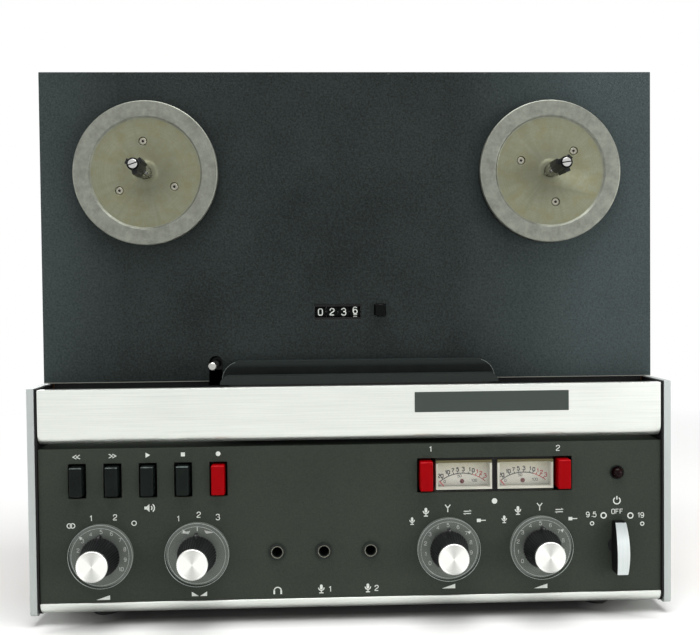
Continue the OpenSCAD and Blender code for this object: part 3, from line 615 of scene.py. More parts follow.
@dataclass(frozen=True)
class Clear(Finish):
    """Clear plastic or glass: mostly see-through, with gloss, haze and hairline scratches."""

    colour: Colour
    alpha: float
    roughness: float = 0.06
    gloss: float = 0.5
    hairs: float = 0.12

    def wire(self, g: Graph) -> None:
        """Hairlines are thin stretched noise in the gloss; haze is a wide noise in the colour.

        Args:
            g: Nodes of the material.
        """
        haze = g.noise(g.cells((14.0,) * 3), 2.0)
        hair = g.spread(g.noise(g.cells((9.0, 2.0, 0.6), (1, 5, 2)), 2.0), 0.7, 0.78, 0.0, self.hairs)
        g.shade(
            base_color=g.blend(g.spread(haze, 0.3, 0.7), self.colour, scaled(self.colour, 1.2)),
            roughness=g.sum("ADD", g.spread(haze, 0.3, 0.7, self.roughness, self.roughness + 0.05), hair),
            specular_ior_level=self.gloss,
            alpha=self.alpha,
        )


@dataclass(frozen=True)
class Print(Finish):
    """Screen-printed ink with slightly uneven cover."""

    colour: Colour
    thin: Colour

    def wire(self, g: Graph) -> None:
        """Cover is a noise of half a millimetre between full and thin ink.

        Args:
            g: Nodes of the material.
        """
        cover = g.noise(g.cells((0.5,) * 3), 4.0, 0.6)
        g.shade(
            base_color=g.blend(g.spread(cover, 0.38, 0.62), self.thin, self.colour),
            roughness=0.55,
            normal=g.relief(cover, 0.01),
        )


@dataclass(frozen=True)
class Capped(Finish):
    """Black plastic whose front face carries a pale metal inlay."""

    face: Colour
    side: Colour
    dim: Colour = (0.2, 0.22, 0.23, 1.0)
    dim_mm: Point = (51.0, 63.0)

    def wire(self, g: Graph) -> None:
        """The inlay is where the object's own normal looks forward; towards its top a painted shade darkens
        it.

        Args:
            g: Nodes of the material.
        """
        normal = g.add("ShaderNodeTexCoord").outputs["Normal"]
        forward = g.add("ShaderNodeSeparateXYZ", {0: normal}).outputs[1]
        inlay = g.spread(forward, -0.62, -0.7)
        streak = g.noise(g.cells((0.3, 3.0, 30.0)), 4.0)
        pale = g.blend(g.spread(streak, 0.3, 0.7), scaled(self.face, 0.86), self.face)
        # Painted shade: the inlay darkens towards its top.
        pale = g.blend(g.rise(g.axes()[2], *self.dim_mm, 0.0, 0.6), pale, self.dim)
        g.shade(
            base_color=g.blend(inlay, self.side, pale),
            metallic=g.sum("MULTIPLY", inlay, 0.55),
            roughness=g.spread(streak, 0.3, 0.7, 0.34, 0.44),
            specular_ior_level=0.15,
            normal=g.relief(streak, 0.012),
        )


WHITE_INK = Print("white_print", tone(226, 230, 224), tone(196, 201, 194))
BLACK_INK = Print("black_print", tone(18, 17, 16), tone(38, 36, 33))
RED_INK = Print("red_print", tone(186, 60, 52), tone(170, 76, 66))
# The deck's paint carries a painted sheen towards its two sides.
DECK_PAINT = GrainedPaint("deck_paint", tone(20, 25, 24), tone(47, 54, 53), 0.48, 1.3, 0.09, 0.09,
                          chips_above_mm=354.5, bare_below_mm=153.45, dusty=0.3)
PANEL_PAINT = GrainedPaint("panel_paint", tone(45, 50, 44), tone(57, 62, 55), 0.5, 0.7, 0.02, 0.1)
BRIGHT_ALUMINIUM = Brushed("bright_aluminium", tone(234, 238, 232), tone(204, 208, 202), streak_mm=0.4)
SATIN_ALUMINIUM = Brushed("satin_aluminium", tone(184, 190, 188), tone(164, 170, 168), Grain.UPRIGHT, 0.42)
PLAIN_ALUMINIUM = Brushed("plain_aluminium", tone(196, 196, 194), tone(160, 160, 158), Grain.ACROSS, 0.4)
STEEL = Brushed("ground_steel", tone(206, 206, 202), tone(150, 150, 148), Grain.DEEP, 0.24, 0.01, 0.3, 1.0)
DULL_STEEL = Brushed("dull_steel", tone(176, 174, 158), tone(136, 134, 120), Grain.DEEP, 0.4, 0.02, 0.5)
SCREW_STEEL = Brushed("screw_steel", tone(168, 166, 152), tone(120, 118, 106), Grain.DEEP, 0.36, 0.02, 0.5,
                      metallic=0.8)
HEAD_METAL = Brushed("head_metal", tone(206, 204, 198), tone(166, 162, 156), Grain.DEEP, 0.22, 0.01, 0.3, 1.0)
IRON = Brushed("motor_iron", tone(110, 110, 112), tone(70, 70, 72), Grain.DEEP, 0.5, 0.03, 0.6, 0.8)
CAST_BLACK = GrainedPaint("cast_black", tone(20, 21, 22), tone(34, 35, 36), 0.6, 1.1, 0.08)
NAME_STRIP = Brushed("name_strip", tone(71, 78, 74), tone(62, 69, 65), Grain.ACROSS, 0.5, 0.008, 0.25,
                     metallic=0.0, gloss=0.1)
BLACK_PLASTIC = Moulded("black_plastic", tone(14, 16, 16), tone(26, 28, 28), 0.4, 0.4, 0.015, 0.25)
COVER_BLACK = CoverBands("cover_black", tone(14, 18, 17), tone(22, 27, 25), 0.34, 0.5, 0.01, 0.08,
                         top=tone(38, 44, 43), step=tone(40, 45, 43))
# Both key finishes carry a painted highlight along the upper front edge.
KEY_BLACK = KeyCap("key_black", tone(14, 19, 17), tone(22, 28, 25), 0.3, 0.4, 0.006, 0.08,
                   rubbed=tone(112, 122, 120))
KEY_RED = KeyCap("key_red", tone(142, 0, 5), tone(153, 1, 9), 0.32, 0.4, 0.006, 0.05,
                 rubbed=tone(182, 40, 46))
COUNTER_BLACK = Moulded("counter_black", tone(5, 6, 6), tone(10, 11, 11), 0.6, 0.4, 0.01, 0.06)
KNOB_BLACK = Moulded("knob_black", tone(12, 13, 14), tone(24, 25, 26), 0.36, 0.5, 0.015, 0.3)
STRIP_BLACK = Moulded("strip_black", tone(12, 12, 12), tone(22, 22, 22), 0.55, 0.4, 0.02, 0.2)
BOARD_BLACK = Moulded("rear_board", tone(34, 33, 32), tone(52, 50, 48), 0.7, 0.6, 0.05)
RUBBER = Moulded("rubber", tone(22, 22, 22), tone(36, 35, 34), 0.75, 0.5, 0.05)
LAMINATE = Moulded("laminate", tone(52, 74, 40), tone(74, 98, 58), 0.5, 1.2, 0.02)
METER_CASE = ShadedCase("meter_case", tone(184, 184, 170), tone(200, 199, 186), 0.5)
METER_CARD = FadedCard("meter_card", tone(208, 205, 192), tone(220, 217, 206), 0.7, 0.25, 0.01, 0.2,
                       aged=tone(176, 170, 140))
RED_LENS = Moulded("red_lens", tone(14, 3, 4), tone(24, 6, 6), 0.16, 0.6, 0.01, 0.08)
JACK_BLACK = Moulded("jack_black", tone(34, 38, 35), tone(44, 48, 45), 0.5, 0.4, 0.015, 0.08)
RED_DOT = Moulded("red_dot", tone(84, 18, 20), tone(112, 28, 28), 0.4)
NEEDLE_RED = Moulded("needle_red", tone(206, 84, 88), tone(222, 110, 110), 0.5)
ACRYLIC = Clear("clear_acrylic", (0.02, 0.022, 0.021, 1.0), 0.05, 0.1, 0.3, 0.1)
DIAL_REFLECTION = Print("dial_reflection", tone(110, 116, 109), tone(100, 106, 99))
RIM_HIGHLIGHT = Print("rim_highlight", tone(190, 197, 194), tone(126, 134, 131))
COVER_HIGHLIGHT = Print("cover_highlight", tone(128, 138, 134), tone(70, 78, 75))
WINDOW = Clear("meter_window", (0.8, 0.82, 0.8, 1.0), 0.05, 0.05)
SPUN_ALUMINIUM = SpunFace("spun_aluminium", tone(242, 243, 238))
LEVER = Capped("lever", tone(214, 221, 220), tone(14, 15, 16))
WALNUT_TOP = Wood("walnut_top", tone(126, 84, 54), tone(82, 50, 30), Grain.ACROSS)
WALNUT_SIDE = Wood("walnut_side", tone(126, 84, 54), tone(82, 50, 30), Grain.UPRIGHT)


@dataclass
class Shape:
    """Points in millimetres and faces of one or more closed solids."""

    points: np.ndarray
    faces: list[list[int]]

    @staticmethod
    def join(shapes: Iterable["Shape"]) -> "Shape":
        """Puts several shapes into one.

        Args:
            shapes: Shapes to join.

        Returns:
            One shape that holds them all.
        """
        parts = list(shapes)
        starts = np.cumsum([0] + [len(p.points) for p in parts])
        faces = [[i + int(s) for i in f] for p, s in zip(parts, starts) for f in p.faces]
        return Shape(np.vstack([p.points for p in parts]), faces)

    def mapped(self, rule: Callable[..., np.ndarray], *values: Any) -> "Shape":
        """Returns the shape with its points moved by a rule that also takes the given values."""
        return Shape(rule(self.points, *values), self.faces)

    def moved(self, x: float, y: float, z: float) -> "Shape":
        """Returns the shape shifted by three distances."""
        return Shape(self.points + np.array([x, y, z]), self.faces)


def grid_faces(rows: int, columns: int, round_rows: bool, round_columns: bool) -> list[list[int]]:
    """Four-sided faces of a grid of points, numbered row by row.

    Args:
        rows: Count of rows.
        columns: Count of points in a row.
        round_rows: Whether the last row joins the first.
        round_columns: Whether a row's last point joins its first.

    Returns:
        Lists of four point numbers.
    """
    i, j = np.meshgrid(np.arange(rows if round_rows else rows - 1),
                       np.arange(columns if round_columns else columns - 1), indexing="ij")
    i2, j2 = (i + 1) % rows, (j + 1) % columns
    corners = [i * columns + j, i * columns + j2, i2 * columns + j2, i2 * columns + j]
    return np.stack(corners, -1).reshape(-1, 4).tolist()


def lathe(centre: Point, profile: Sequence[Point], turns: int = 96, flutes: int = 0, depth: float = 0.0,
          closed: bool = False) -> Shape:
    """A profile carried round an axis along Y: x = cx + r cos a, z = cz + r sin a.

    With flutes the radius is r - depth * (1 - |cos(n a / 2)|) wherever r is over half of the largest one.

    Args:
        centre: Axis in x and z.
        profile: Pairs of radius and y.
        turns: Count of steps round the axis.
        flutes: Count of hollows round the outside.
        depth: Depth of a hollow.
        closed: Whether the profile is a ring in itself.

    Returns:
        The turned shape.
    """
    line = np.array(profile, float)
    angle = np.arange(turns) * 2.0 * np.pi / turns
    cut = depth * (1.0 - np.abs(np.cos(flutes * angle / 2.0)))
    radius = line[:, :1] - np.where(line[:, :1] > 0.5 * line[:, 0].max(), cut[None, :], 0.0)
    x = centre[0] + radius * np.cos(angle)
    z = centre[1] + radius * np.sin(angle)
    y = np.broadcast_to(line[:, 1:], x.shape)
    return Shape(np.stack([x, y, z], -1).reshape(-1, 3), grid_faces(len(line), turns, closed, True))


def shifted(profile: Sequence[Point], y: float) -> np.ndarray:
    """A profile of radius and y, moved along y."""
    return np.array(profile, float) + np.array([0.0, y])


def stacked(rows: Sequence[np.ndarray]) -> Shape:
    """Outlines of equal count joined row to row and closed at both ends.

    Args:
        rows: Outlines, each an array of points in three axes.

    Returns:
        The closed solid.
    """
    count, last = len(rows[0]), len(rows[0]) * len(rows)
    faces = grid_faces(len(rows), count, False, True)
    faces += [list(range(count)), list(range(last - 1, last - count - 1, -1))]
    return Shape(np.vstack(rows), faces)


def prism(outline: Sequence[Point], y0: float, y1: float) -> Shape:
    """A flat outline in x and z carried straight from y0 to y1, closed at both ends."""
    flat = np.array(outline, float)
    return stacked([np.insert(flat, 1, y, 1) for y in (y0, y1)])


def box(lo: Sequence[float], hi: Sequence[float]) -> Shape:
    """A box between two corners."""
    return prism([(lo[0], lo[2]), (hi[0], lo[2]), (hi[0], hi[2]), (lo[0], hi[2])], lo[1], hi[1])


def stroke(path: Sequence[Point], width: float, y0: float, y1: float, closed: bool = False) -> Shape:
    """A bar of rectangular section carried along a flat path in x and z.

    Each side line is the path moved by half the width along (n1 + n2) / (1 + n1.n2), the mitre of the
    normals n1 and n2 of the two pieces that meet at a point.

    Args:
        path: Points of the path.
        width: Width of the bar.
        y0: Front of the bar.
        y1: Back of the bar.
        closed: Whether the path joins its start.

    Returns:
        The closed bar.
    """
    line = np.array(path, float)
    steps = np.roll(line, -1, 0) - line
    steps /= np.maximum(np.linalg.norm(steps, axis=1, keepdims=True), 1e-9)
    normals = np.column_stack([-steps[:, 1], steps[:, 0]])
    if not closed:
        normals[-1] = normals[-2]
    before = np.roll(normals, 1, 0)
    if not closed:
        before[0] = normals[0]
    turn = np.clip(1.0 + (before * normals).sum(1, keepdims=True), 0.4, 2.0)
    side = (before + normals) / turn * width / 2.0
    left, right = line + side, line - side
    corners = [(left, y0), (left, y1), (right, y1), (right, y0)]
    points = np.stack([np.insert(flat, 1, y, 1) for flat, y in corners], 1)
    if not closed:
        return stacked(list(points))
    return Shape(points.reshape(-1, 3), grid_faces(len(line), 4, True, True))


def arc(centre: Point, radius: float, start: float, end: float, count: int = 24) -> np.ndarray:
    """Points on a circle between two angles in degrees, counted from the right."""
    angle = np.radians(np.linspace(start, end, count))
    return np.column_stack([centre[0] + radius * np.cos(angle), centre[1] + radius * np.sin(angle)])


def ring(centre: Point, radius: float, width: float, y0: float, y1: float, count: int = 40) -> Shape:
    """A flat ring."""
    return stroke(arc(centre, radius, 0.0, 360.0 - 360.0 / count, count), width, y0, y1, True)


def rounded(width: float, height: float, corner: float, steps: int = 6) -> np.ndarray:
    """Outline of a rectangle with round corners, round the origin.

    Args:
        width: Width of the rectangle.
        height: Height of the rectangle.
        corner: Radius of its corners.
        steps: Count of points on a corner.

    Returns:
        Points in x and z.
    """
    a, b = width / 2.0 - corner, height / 2.0 - corner
    mids = [(a, b, 0.0), (-a, b, 90.0), (-a, -b, 180.0), (a, -b, 270.0)]
    return np.vstack([arc((x, z), corner, s, s + 90.0, steps) for x, z, s in mids])


def plate(centre: Point, width: float, height: float, corner: float, levels: Sequence[Point]) -> Shape:
    """A rounded rectangle carried through levels, each a y and an inset of its outline.

    Args:
        centre: Middle in x and z.
        width: Width of the outline.
        height: Height of the outline.
        corner: Radius of its corners.
        levels: Pairs of y and inset, from back to front or the other way.

    Returns:
        The closed solid.
    """
    rows = []
    for y, inset in levels:
        flat = rounded(width - 2 * inset, height - 2 * inset, max(corner - inset, 0.05)) + centre
        rows.append(np.insert(flat, 1, y, 1))
    return stacked(rows)


def softly(path: Sequence[Point], closed: bool, rounds: int = 2) -> np.ndarray:
    """Rounds a path's corners: each round replaces a corner by points at 1/4 and 3/4 of its sides.

    Args:
        path: Points of the path.
        closed: Whether the path joins its start.
        rounds: Count of rounds.

    Returns:
        Points of the rounded path.
    """
    line = np.array(path, float)
    for _ in range(rounds):
        after = np.roll(line, -1, 0)
        cut = np.stack([0.75 * line + 0.25 * after, 0.25 * line + 0.75 * after], 1).reshape(-1, 2)
        line = cut if closed else np.vstack([line[:1], cut[:-2], line[-1:]])
    return line


class Stroke(Enum):
    """How a numeral's stroke runs through its points."""

    LINE = "straight from point to point"
    BEND = "softly, with open ends"
    LOOP = "softly, back to its start"


SIX = [(3.7, 5.3), (2.9, 6.2), (1.0, 6.2), (0.0, 4.4), (0.0, 1.4), (1.0, -0.2), (3.0, -0.2), (4.1, 1.2),
       (3.7, 3.4), (1.6, 3.9), (0.1, 2.4)]
OVAL = [(2.0, 6.1), (0.2, 6.0), (0.0, 3.0), (0.2, 0.0), (2.0, -0.1), (3.8, 0.0), (4.0, 3.0), (3.8, 6.0)]
# Strokes of a plain numeral on a cell of 4 by 6
NUMERALS: dict[str, list[tuple[Stroke, list[Point]]]] = {
    "0": [(Stroke.LOOP, OVAL)],
    "1": [(Stroke.LINE, [(0.8, 4.7), (2.3, 6.0), (2.3, 0.0)])],
    "2": [(Stroke.BEND, [(0.1, 4.4), (0.3, 6.2), (3.8, 6.4), (4.2, 3.9), (1.9, 2.4), (0.0, 0.9), (0.0, 0.0)]),
          (Stroke.LINE, [(-0.3, 0.0), (4.0, 0.0)])],
    "3": [(Stroke.BEND, [(0.1, 5.0), (0.6, 6.3), (3.6, 6.4), (4.1, 3.6), (1.6, 3.2)]),
          (Stroke.BEND, [(1.6, 3.2), (4.3, 3.1), (4.2, -0.2), (0.6, -0.3), (0.0, 1.1)])],
    "4": [(Stroke.LINE, [(3.1, 0.0), (3.1, 6.0), (0.0, 1.7), (4.3, 1.7)])],
    "5": [(Stroke.LINE, [(3.8, 6.0), (0.7, 6.0), (0.4, 3.3)]),
          (Stroke.BEND, [(0.4, 3.3), (1.6, 4.1), (4.1, 3.8), (4.2, -0.1), (0.8, -0.3), (0.0, 1.0)])],
    "6": [(Stroke.BEND, SIX)],
    "7": [(Stroke.LINE, [(0.0, 6.0), (4.0, 6.0), (1.5, 0.0)])],
    "8": [(Stroke.LOOP, [(2.0, 6.1), (0.5, 6.1), (0.3, 3.4), (2.0, 3.2), (3.7, 3.4), (3.5, 6.1)]),
          (Stroke.LOOP, [(2.0, 3.2), (0.2, 3.2), (0.0, -0.1), (2.0, -0.1), (4.0, -0.1), (3.8, 3.2)])],
    "9": [(Stroke.BEND, [(4.0 - x, 6.0 - z) for x, z in SIX])],
    "O": [(Stroke.LOOP, OVAL)],
    "F": [(Stroke.LINE, [(0.2, 0.0), (0.2, 6.0), (3.8, 6.0)]), (Stroke.LINE, [(0.2, 3.2), (3.2, 3.2)])],
    ".": [(Stroke.LINE, [(1.6, 0.3), (2.4, 0.3)])],
}
ADVANCE = {".": 3.2, "1": 4.4}
USUAL_ADVANCE = 5.6
NUMERAL_GAP = 1.6
MARK_LINE = 0.16


def numerals(text: str, centre: Point, height: float, y0: float, y1: float, weight: float = 0.9) -> Shape:
    """Numerals as bars along their strokes.

    Args:
        text: Characters to draw.
        centre: Middle of the line in x and z.
        height: Height of a character.
        y0: Front of the ink.
        y1: Back of the ink.
        weight: Stroke width on a cell 6 high.

    Returns:
        The bars.
    """
    size = height / 6.0
    steps = [ADVANCE.get(c, USUAL_ADVANCE) for c in text]
    start = -(sum(steps) - NUMERAL_GAP) / 2.0
    bars = []
    for char, left in zip(text, start + np.cumsum([0.0] + steps[:-1])):
        for kind, path in NUMERALS[char]:
            closed = kind is Stroke.LOOP
            line = np.array(path, float) if kind is Stroke.LINE else softly(path, closed)
            flat = (line + np.array([left, -3.0])) * size + np.array(centre)
            bars.append(stroke(flat, weight * size, y0, y1, closed))
    return Shape.join(bars)


class Mark(Enum):
    """Plain pictograms printed on the panel."""

    BACK = "back"
    AHEAD = "ahead"
    PLAY = "play"
    STOP = "stop"
    RECORD = "record"
    SPEAKER = "speaker"
    PAIR = "pair"
    SINGLE = "single"
    WEDGE = "wedge"
    BALANCE = "balance"
    PHONES = "phones"
    MICROPHONE = "microphone"
    AERIAL = "aerial"
    EXCHANGE = "exchange"
    PLUG = "plug"
    POWER = "power"

    def shape(self, at: Point, size: float, y0: float, y1: float) -> Shape:
        """Draws the mark.

        Args:
            at: Its middle in x and z.
            size: Its height, about.
            y0: Front of the ink.
            y1: Back of the ink.

        Returns:
            Bars and prisms of the mark.
        """
        fills: list[Sequence[Point]] = []
        lines: list[tuple[Sequence[Point], bool]] = []
        left = [(-0.05, 0.42), (-0.8, 0.0), (-0.05, -0.42)]
        if self in (Mark.BACK, Mark.AHEAD):
            sign = 1.0 if self is Mark.BACK else -1.0
            lines = [([(sign * (x + s), z) for x, z in left], False) for s in (0.0, 0.75)]
        elif self is Mark.PLAY:
            fills = [[(0.55, 0.0), (-0.42, 0.55), (-0.42, -0.55)]]
        elif self is Mark.STOP:
            fills = [[(-0.45, -0.45), (0.45, -0.45), (0.45, 0.45), (-0.45, 0.45)]]
        elif self is Mark.RECORD:
            fills = [arc((0, 0), 0.5, 0, 345, 24)]
        elif self is Mark.SPEAKER:
            fills = [[(-0.7, -0.2), (-0.4, -0.2), (0.0, -0.55), (0.0, 0.55), (-0.4, 0.2), (-0.7, 0.2)]]
            lines = [(arc((0, 0), r, -48, 48, 12), False) for r in (0.35, 0.68)]
        elif self is Mark.PAIR:
            lines = [(arc((x, 0), 0.42, 0, 345, 24), True) for x in (-0.3, 0.3)]
        elif self is Mark.SINGLE:
            lines = [(arc((0, 0), 0.42, 0, 345, 24), True)]
        elif self is Mark.WEDGE:
            fills = [[(-1.2, -0.4), (1.2, -0.4), (1.2, 0.4)]]
        elif self is Mark.BALANCE:
            fills = [[(s * 1.35, -0.4), (s * 1.35, 0.4), (s * 0.12, -0.4)] for s in (-1.0, 1.0)]
        elif self is Mark.PHONES:
            lines = [(arc((0, -0.1), 0.55, 0, 180, 20), False)]
            fills = [[(s * 0.4, -0.6), (s * 0.66, -0.6), (s * 0.66, 0.0), (s * 0.4, 0.0)]
                     for s in (-1.0, 1.0)]
        elif self is Mark.MICROPHONE:
            fills = [rounded(0.42, 0.75, 0.2) + np.array([0.0, 0.3])]
            lines = [(arc((0, 0.2), 0.42, 180, 360, 14), False), ([(0, -0.22), (0, -0.6)], False),
                     ([(-0.32, -0.6), (0.32, -0.6)], False)]
        elif self is Mark.AERIAL:
            lines = [([(0, -0.6), (0, 0.3)], False), ([(-0.42, 0.6), (0, 0.05), (0.42, 0.6)], False)]
        elif self is Mark.EXCHANGE:
            lines = [([(-0.7, z), (0.7, z)], False) for z in (0.22, -0.22)]
            fills = [[(0.85, 0.22), (0.4, 0.5), (0.4, 0.1)], [(-0.85, -0.22), (-0.4, -0.5), (-0.4, -0.1)]]
        elif self is Mark.PLUG:
            fills = [[(-0.8, -0.3), (-0.1, -0.3), (-0.1, 0.3), (-0.8, 0.3)]]
            lines = [([(-0.1, 0), (0.8, 0)], False)]
        elif self is Mark.POWER:
            lines = [(arc((0, -0.05), 0.5, 125, 415, 28), False), ([(0, 0.1), (0, 0.62)], False)]
        solids = [prism(np.array(flat, float) * size + at, y0, y1) for flat in fills]
        solids += [stroke(np.array(path, float) * size + at, MARK_LINE * size, y0, y1, closed)
                   for path, closed in lines]
        return Shape.join(solids)


def tidy_mesh(mesh: bpy.types.Mesh, weld_mm: float, outward: bool) -> None:
    """Welds points, merges faces that lie in one plane and turns faces outwards.

    Args:
        mesh: Mesh to change.
        weld_mm: Distance below which points are one.
        outward: Whether faces are turned outwards; a copied node's already are.
    """
    work = bmesh.new()
    work.from_mesh(mesh)
    bmesh.ops.remove_doubles(work, verts=work.verts, dist=weld_mm * MM)
    if outward:
        bmesh.ops.recalc_face_normals(work, faces=work.faces)
    else:
        bmesh.ops.dissolve_limit(work, angle_limit=math.radians(0.4), verts=work.verts, edges=work.edges)
    work.to_mesh(mesh)
    work.free()


def bevelled(obj: bpy.types.Object, width_mm: float, segments: int) -> None:
    """Rounds an object's sharp edges with a live modifier.

    Args:
        obj: Object to round.
        width_mm: Width of the rounding.
        segments: Steps of the rounding.
    """
    bevel = obj.modifiers.new("soft_edges", "BEVEL")
    bevel.width = width_mm * MM
    bevel.segments = segments
    bevel.limit_method = "ANGLE"
    bevel.angle_limit = math.radians(38.0)
    bevel.harden_normals = True
    bevel.use_clamp_overlap = True


def piece(name: str, shape: Shape, body: str, finish: Finish,
          sharp: float = 35.0) -> bpy.types.Object:
    """Makes a new piece and lets it ride on a body.

    Args:
        name: Name of the piece.
        shape: Its solids, in millimetres.
        body: Body that it moves with.
        finish: Its finish.
        sharp: Angle in degrees over which an edge stays sharp.

    Returns:
        The object.
    """
    mesh = bpy.data.meshes.new(name)
    mesh.from_pydata((shape.points * MM).tolist(), [], shape.faces)
    tidy_mesh(mesh, 1e-4, True)
    mesh.shade_smooth()
    mesh.set_sharp_from_angle(angle=math.radians(sharp))
    mesh.materials.append(finish.material())
    obj = bpy.data.objects.new(name, mesh)
    bpy.context.scene.collection.objects.link(obj)
    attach(obj, body)
    LOG.info("%s rides on %s", name, body)
    return obj


def polar_map(obj: bpy.types.Object, centre: Point, name: str = "turned") -> None:
    """Adds a map of an object round an axis along Y: u is the angle, v the radius in millimetres.

    The angle is counted from each face's first corner, so that no face spans the jump of a full turn.

    Args:
        obj: Object to map.
        centre: Axis in x and z, in millimetres.
        name: Name of the map.
    """
    mesh = obj.data
    places = np.empty(len(mesh.vertices) * 3)
    mesh.vertices.foreach_get("co", places)
    corners = np.empty(len(mesh.loops), np.int32)
    mesh.loops.foreach_get("vertex_index", corners)
    starts = np.empty(len(mesh.polygons), np.int32)
    mesh.polygons.foreach_get("loop_start", starts)
    sizes = np.empty(len(mesh.polygons), np.int32)
    mesh.polygons.foreach_get("loop_total", sizes)
    flat = places.reshape(-1, 3)[corners] / MM - np.array([centre[0], 0.0, centre[1]])
    angle = np.arctan2(flat[:, 2], flat[:, 0])
    first = np.repeat(angle[starts], sizes)
    turn = first + (angle - first + np.pi) % (2.0 * np.pi) - np.pi
    radius = np.hypot(flat[:, 0], flat[:, 2])
    layer = mesh.uv_layers.new(name=name)
    layer.data.foreach_set("uv", np.column_stack([turn, radius]).ravel())


def dress(finish: Finish, *nodes: str) -> None:
    """Gives CAD nodes a finish.

    Args:
        finish: Finish of the nodes.
        nodes: Names of the nodes.
    """
    for node in nodes:
        materials = frame["nodes"][node].data.materials
        materials.clear()
        materials.append(finish.material())
        LOG.info("%s wears %s", node, finish.name)


def soften(node: str, finish: Finish, width_mm: float, segments: int = 2) -> bpy.types.Object:
    """Replaces a node by a copy of its mesh with rounded edges.

    Args:
        node: CAD node.
        finish: Finish of the copy.
        width_mm: Width of the rounding.
        segments: Steps of the rounding.

    Returns:
        The new piece.
    """
    source = frame["nodes"][node]
    mesh = source.data.copy()
    mesh.name = node + "_soft"
    if "custom_normal" in mesh.attributes:
        mesh.attributes.remove(mesh.attributes["custom_normal"])
    tidy_mesh(mesh, 1e-3, False)
    mesh.shade_smooth()
    mesh.materials.clear()
    mesh.materials.append(finish.material())
    obj = bpy.data.objects.new(node + "_soft", mesh)
    bpy.context.scene.collection.objects.link(obj)
    bevelled(obj, width_mm, segments)
    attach(obj, source["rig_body"])
    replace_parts(obj, node)
    LOG.info("%s is softened by %.2f mm", node, width_mm)
    return obj


def node_box(node: str) -> tuple[np.ndarray, np.ndarray]:
    """Lowest and highest corner of a CAD node, in millimetres."""
    lo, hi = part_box(node)
    return np.array(lo) / MM, np.array(hi) / MM


def joint_at(name: str) -> np.ndarray:
    """Place of a joint, in millimetres."""
    return np.array(next(j["pos_m"] for j in frame["joints"] if j["name"] == name)) / MM


@dataclass
class Cabinet:
    """Wooden case, its feet, and what it holds inside."""

    edge: float = 1.2
    board: float = 10.5

    def build(self) -> None:
        """Softens the boards, with upright grain on the two sides, and dresses the inner parts."""
        case = soften("cabinet", WALNUT_TOP, self.edge, 3)
        mesh = case.data
        mesh.materials.append(WALNUT_SIDE.material())
        centres = np.empty(len(mesh.polygons) * 3)
        mesh.polygons.foreach_get("center", centres)
        inner = (node_box("cabinet")[1][0] - self.board) * MM
        side = (np.abs(centres.reshape(-1, 3)[:, 0]) > inner).astype(np.int32)
        mesh.polygons.foreach_set("material_index", side)
        dress(RUBBER, "feet", "counter_belt")
        dress(CAST_BLACK, "chassis", "control_pots")
        dress(PANEL_PAINT, "compartment_floor")
        dress(IRON, "motor_stators", "power_transformer")
        dress(LAMINATE, "circuit_boards")
        dress(STEEL, "counter_frame", "counter_pulley")
        dress(BLACK_PLASTIC, "key_bank")


@dataclass
class Rear:
    """Rear cover, connector plate, screws, socket numbers and inlet pins."""

    screw_r: float = 3.2
    screw_h: float = 1.6
    cover_inset: float = 9.0
    foot_inset: float = 3.0
    plate_inset: float = 7.0
    plate_t: float = 1.5
    number_h: float = 5.0
    number_aside: float = 11.0
    ink: float = 0.08
    sockets_x: tuple[float, ...] = (-110.0, -72.0, -34.0)
    sockets_z: Point = (42.0, 61.0)
    pins_x: Point = (107.0, 117.0)
    pins_z: float = 51.0
    pin: tuple[Point, ...] = ((0.0, 76.5), (2.0, 76.5), (2.0, 90.0), (1.5, 91.5), (0.0, 91.5))

    def screw(self, x: float, y: float, z: float) -> Shape:
        """A domed screw head with a round socket, on a face that looks to the back.

        Args:
            x: Its middle across.
            y: Face that it lies on.
            z: Its height.

        Returns:
            The turned head.
        """
        r, h = self.screw_r, self.screw_h
        dome = [(0.0, 0.0), (r, 0.0), (r, 0.35 * h), (0.86 * r, 0.72 * h), (0.6 * r, 0.95 * h), (0.5 * r, h),
                (0.42 * r, h), (0.3 * r, 0.5 * h), (0.0, 0.4 * h)]
        return lathe((x, z), shifted(dome, y), 32)

    def mirrored(self, points: np.ndarray) -> np.ndarray:
        """Points with x turned round, so that print on the back reads from behind."""
        return points * np.array([-1.0, 1.0, 1.0])

    def build(self) -> None:
        """Adds the screws, numbers and pins to the dressed cover and plate."""
        dress(BOARD_BLACK, "rear_cover")
        soften("connector_panel", PLAIN_ALUMINIUM, 0.35)
        lo, hi = node_box("rear_cover")
        left, right = lo[0] + self.cover_inset, hi[0] - self.cover_inset
        rows = (lo[2] + self.foot_inset, hi[2] - self.cover_inset)
        heads = [self.screw(x, hi[1], z) for x in np.linspace(left, right, 4) for z in rows]
        heads += [self.screw(x, hi[1], (lo[2] + hi[2]) / 2.0) for x in (left, right)]
        plate_y = hi[1] + self.plate_t
        lo, hi = node_box("connector_panel")
        heads += [self.screw(x, plate_y, z) for x in (lo[0] + self.plate_inset, hi[0] - self.plate_inset)
                  for z in (lo[2] + self.plate_inset, hi[2] - self.plate_inset)]
        piece("rear_screws", Shape.join(heads), "machine", STEEL)
        numbers = []
        for i, x in enumerate(self.sockets_x):
            for j, z in enumerate(self.sockets_z):
                at = (-x - self.number_aside, z)
                flat = numerals(str(1 + i + 3 * j), at, self.number_h, plate_y, plate_y + self.ink)
                numbers.append(flat.mapped(self.mirrored))
        piece("rear_numbers", Shape.join(numbers), "machine", BLACK_INK)
        pins = [lathe((x, self.pins_z), self.pin, 24) for x in self.pins_x]
        piece("inlet_pins", Shape.join(pins), "machine", STEEL)


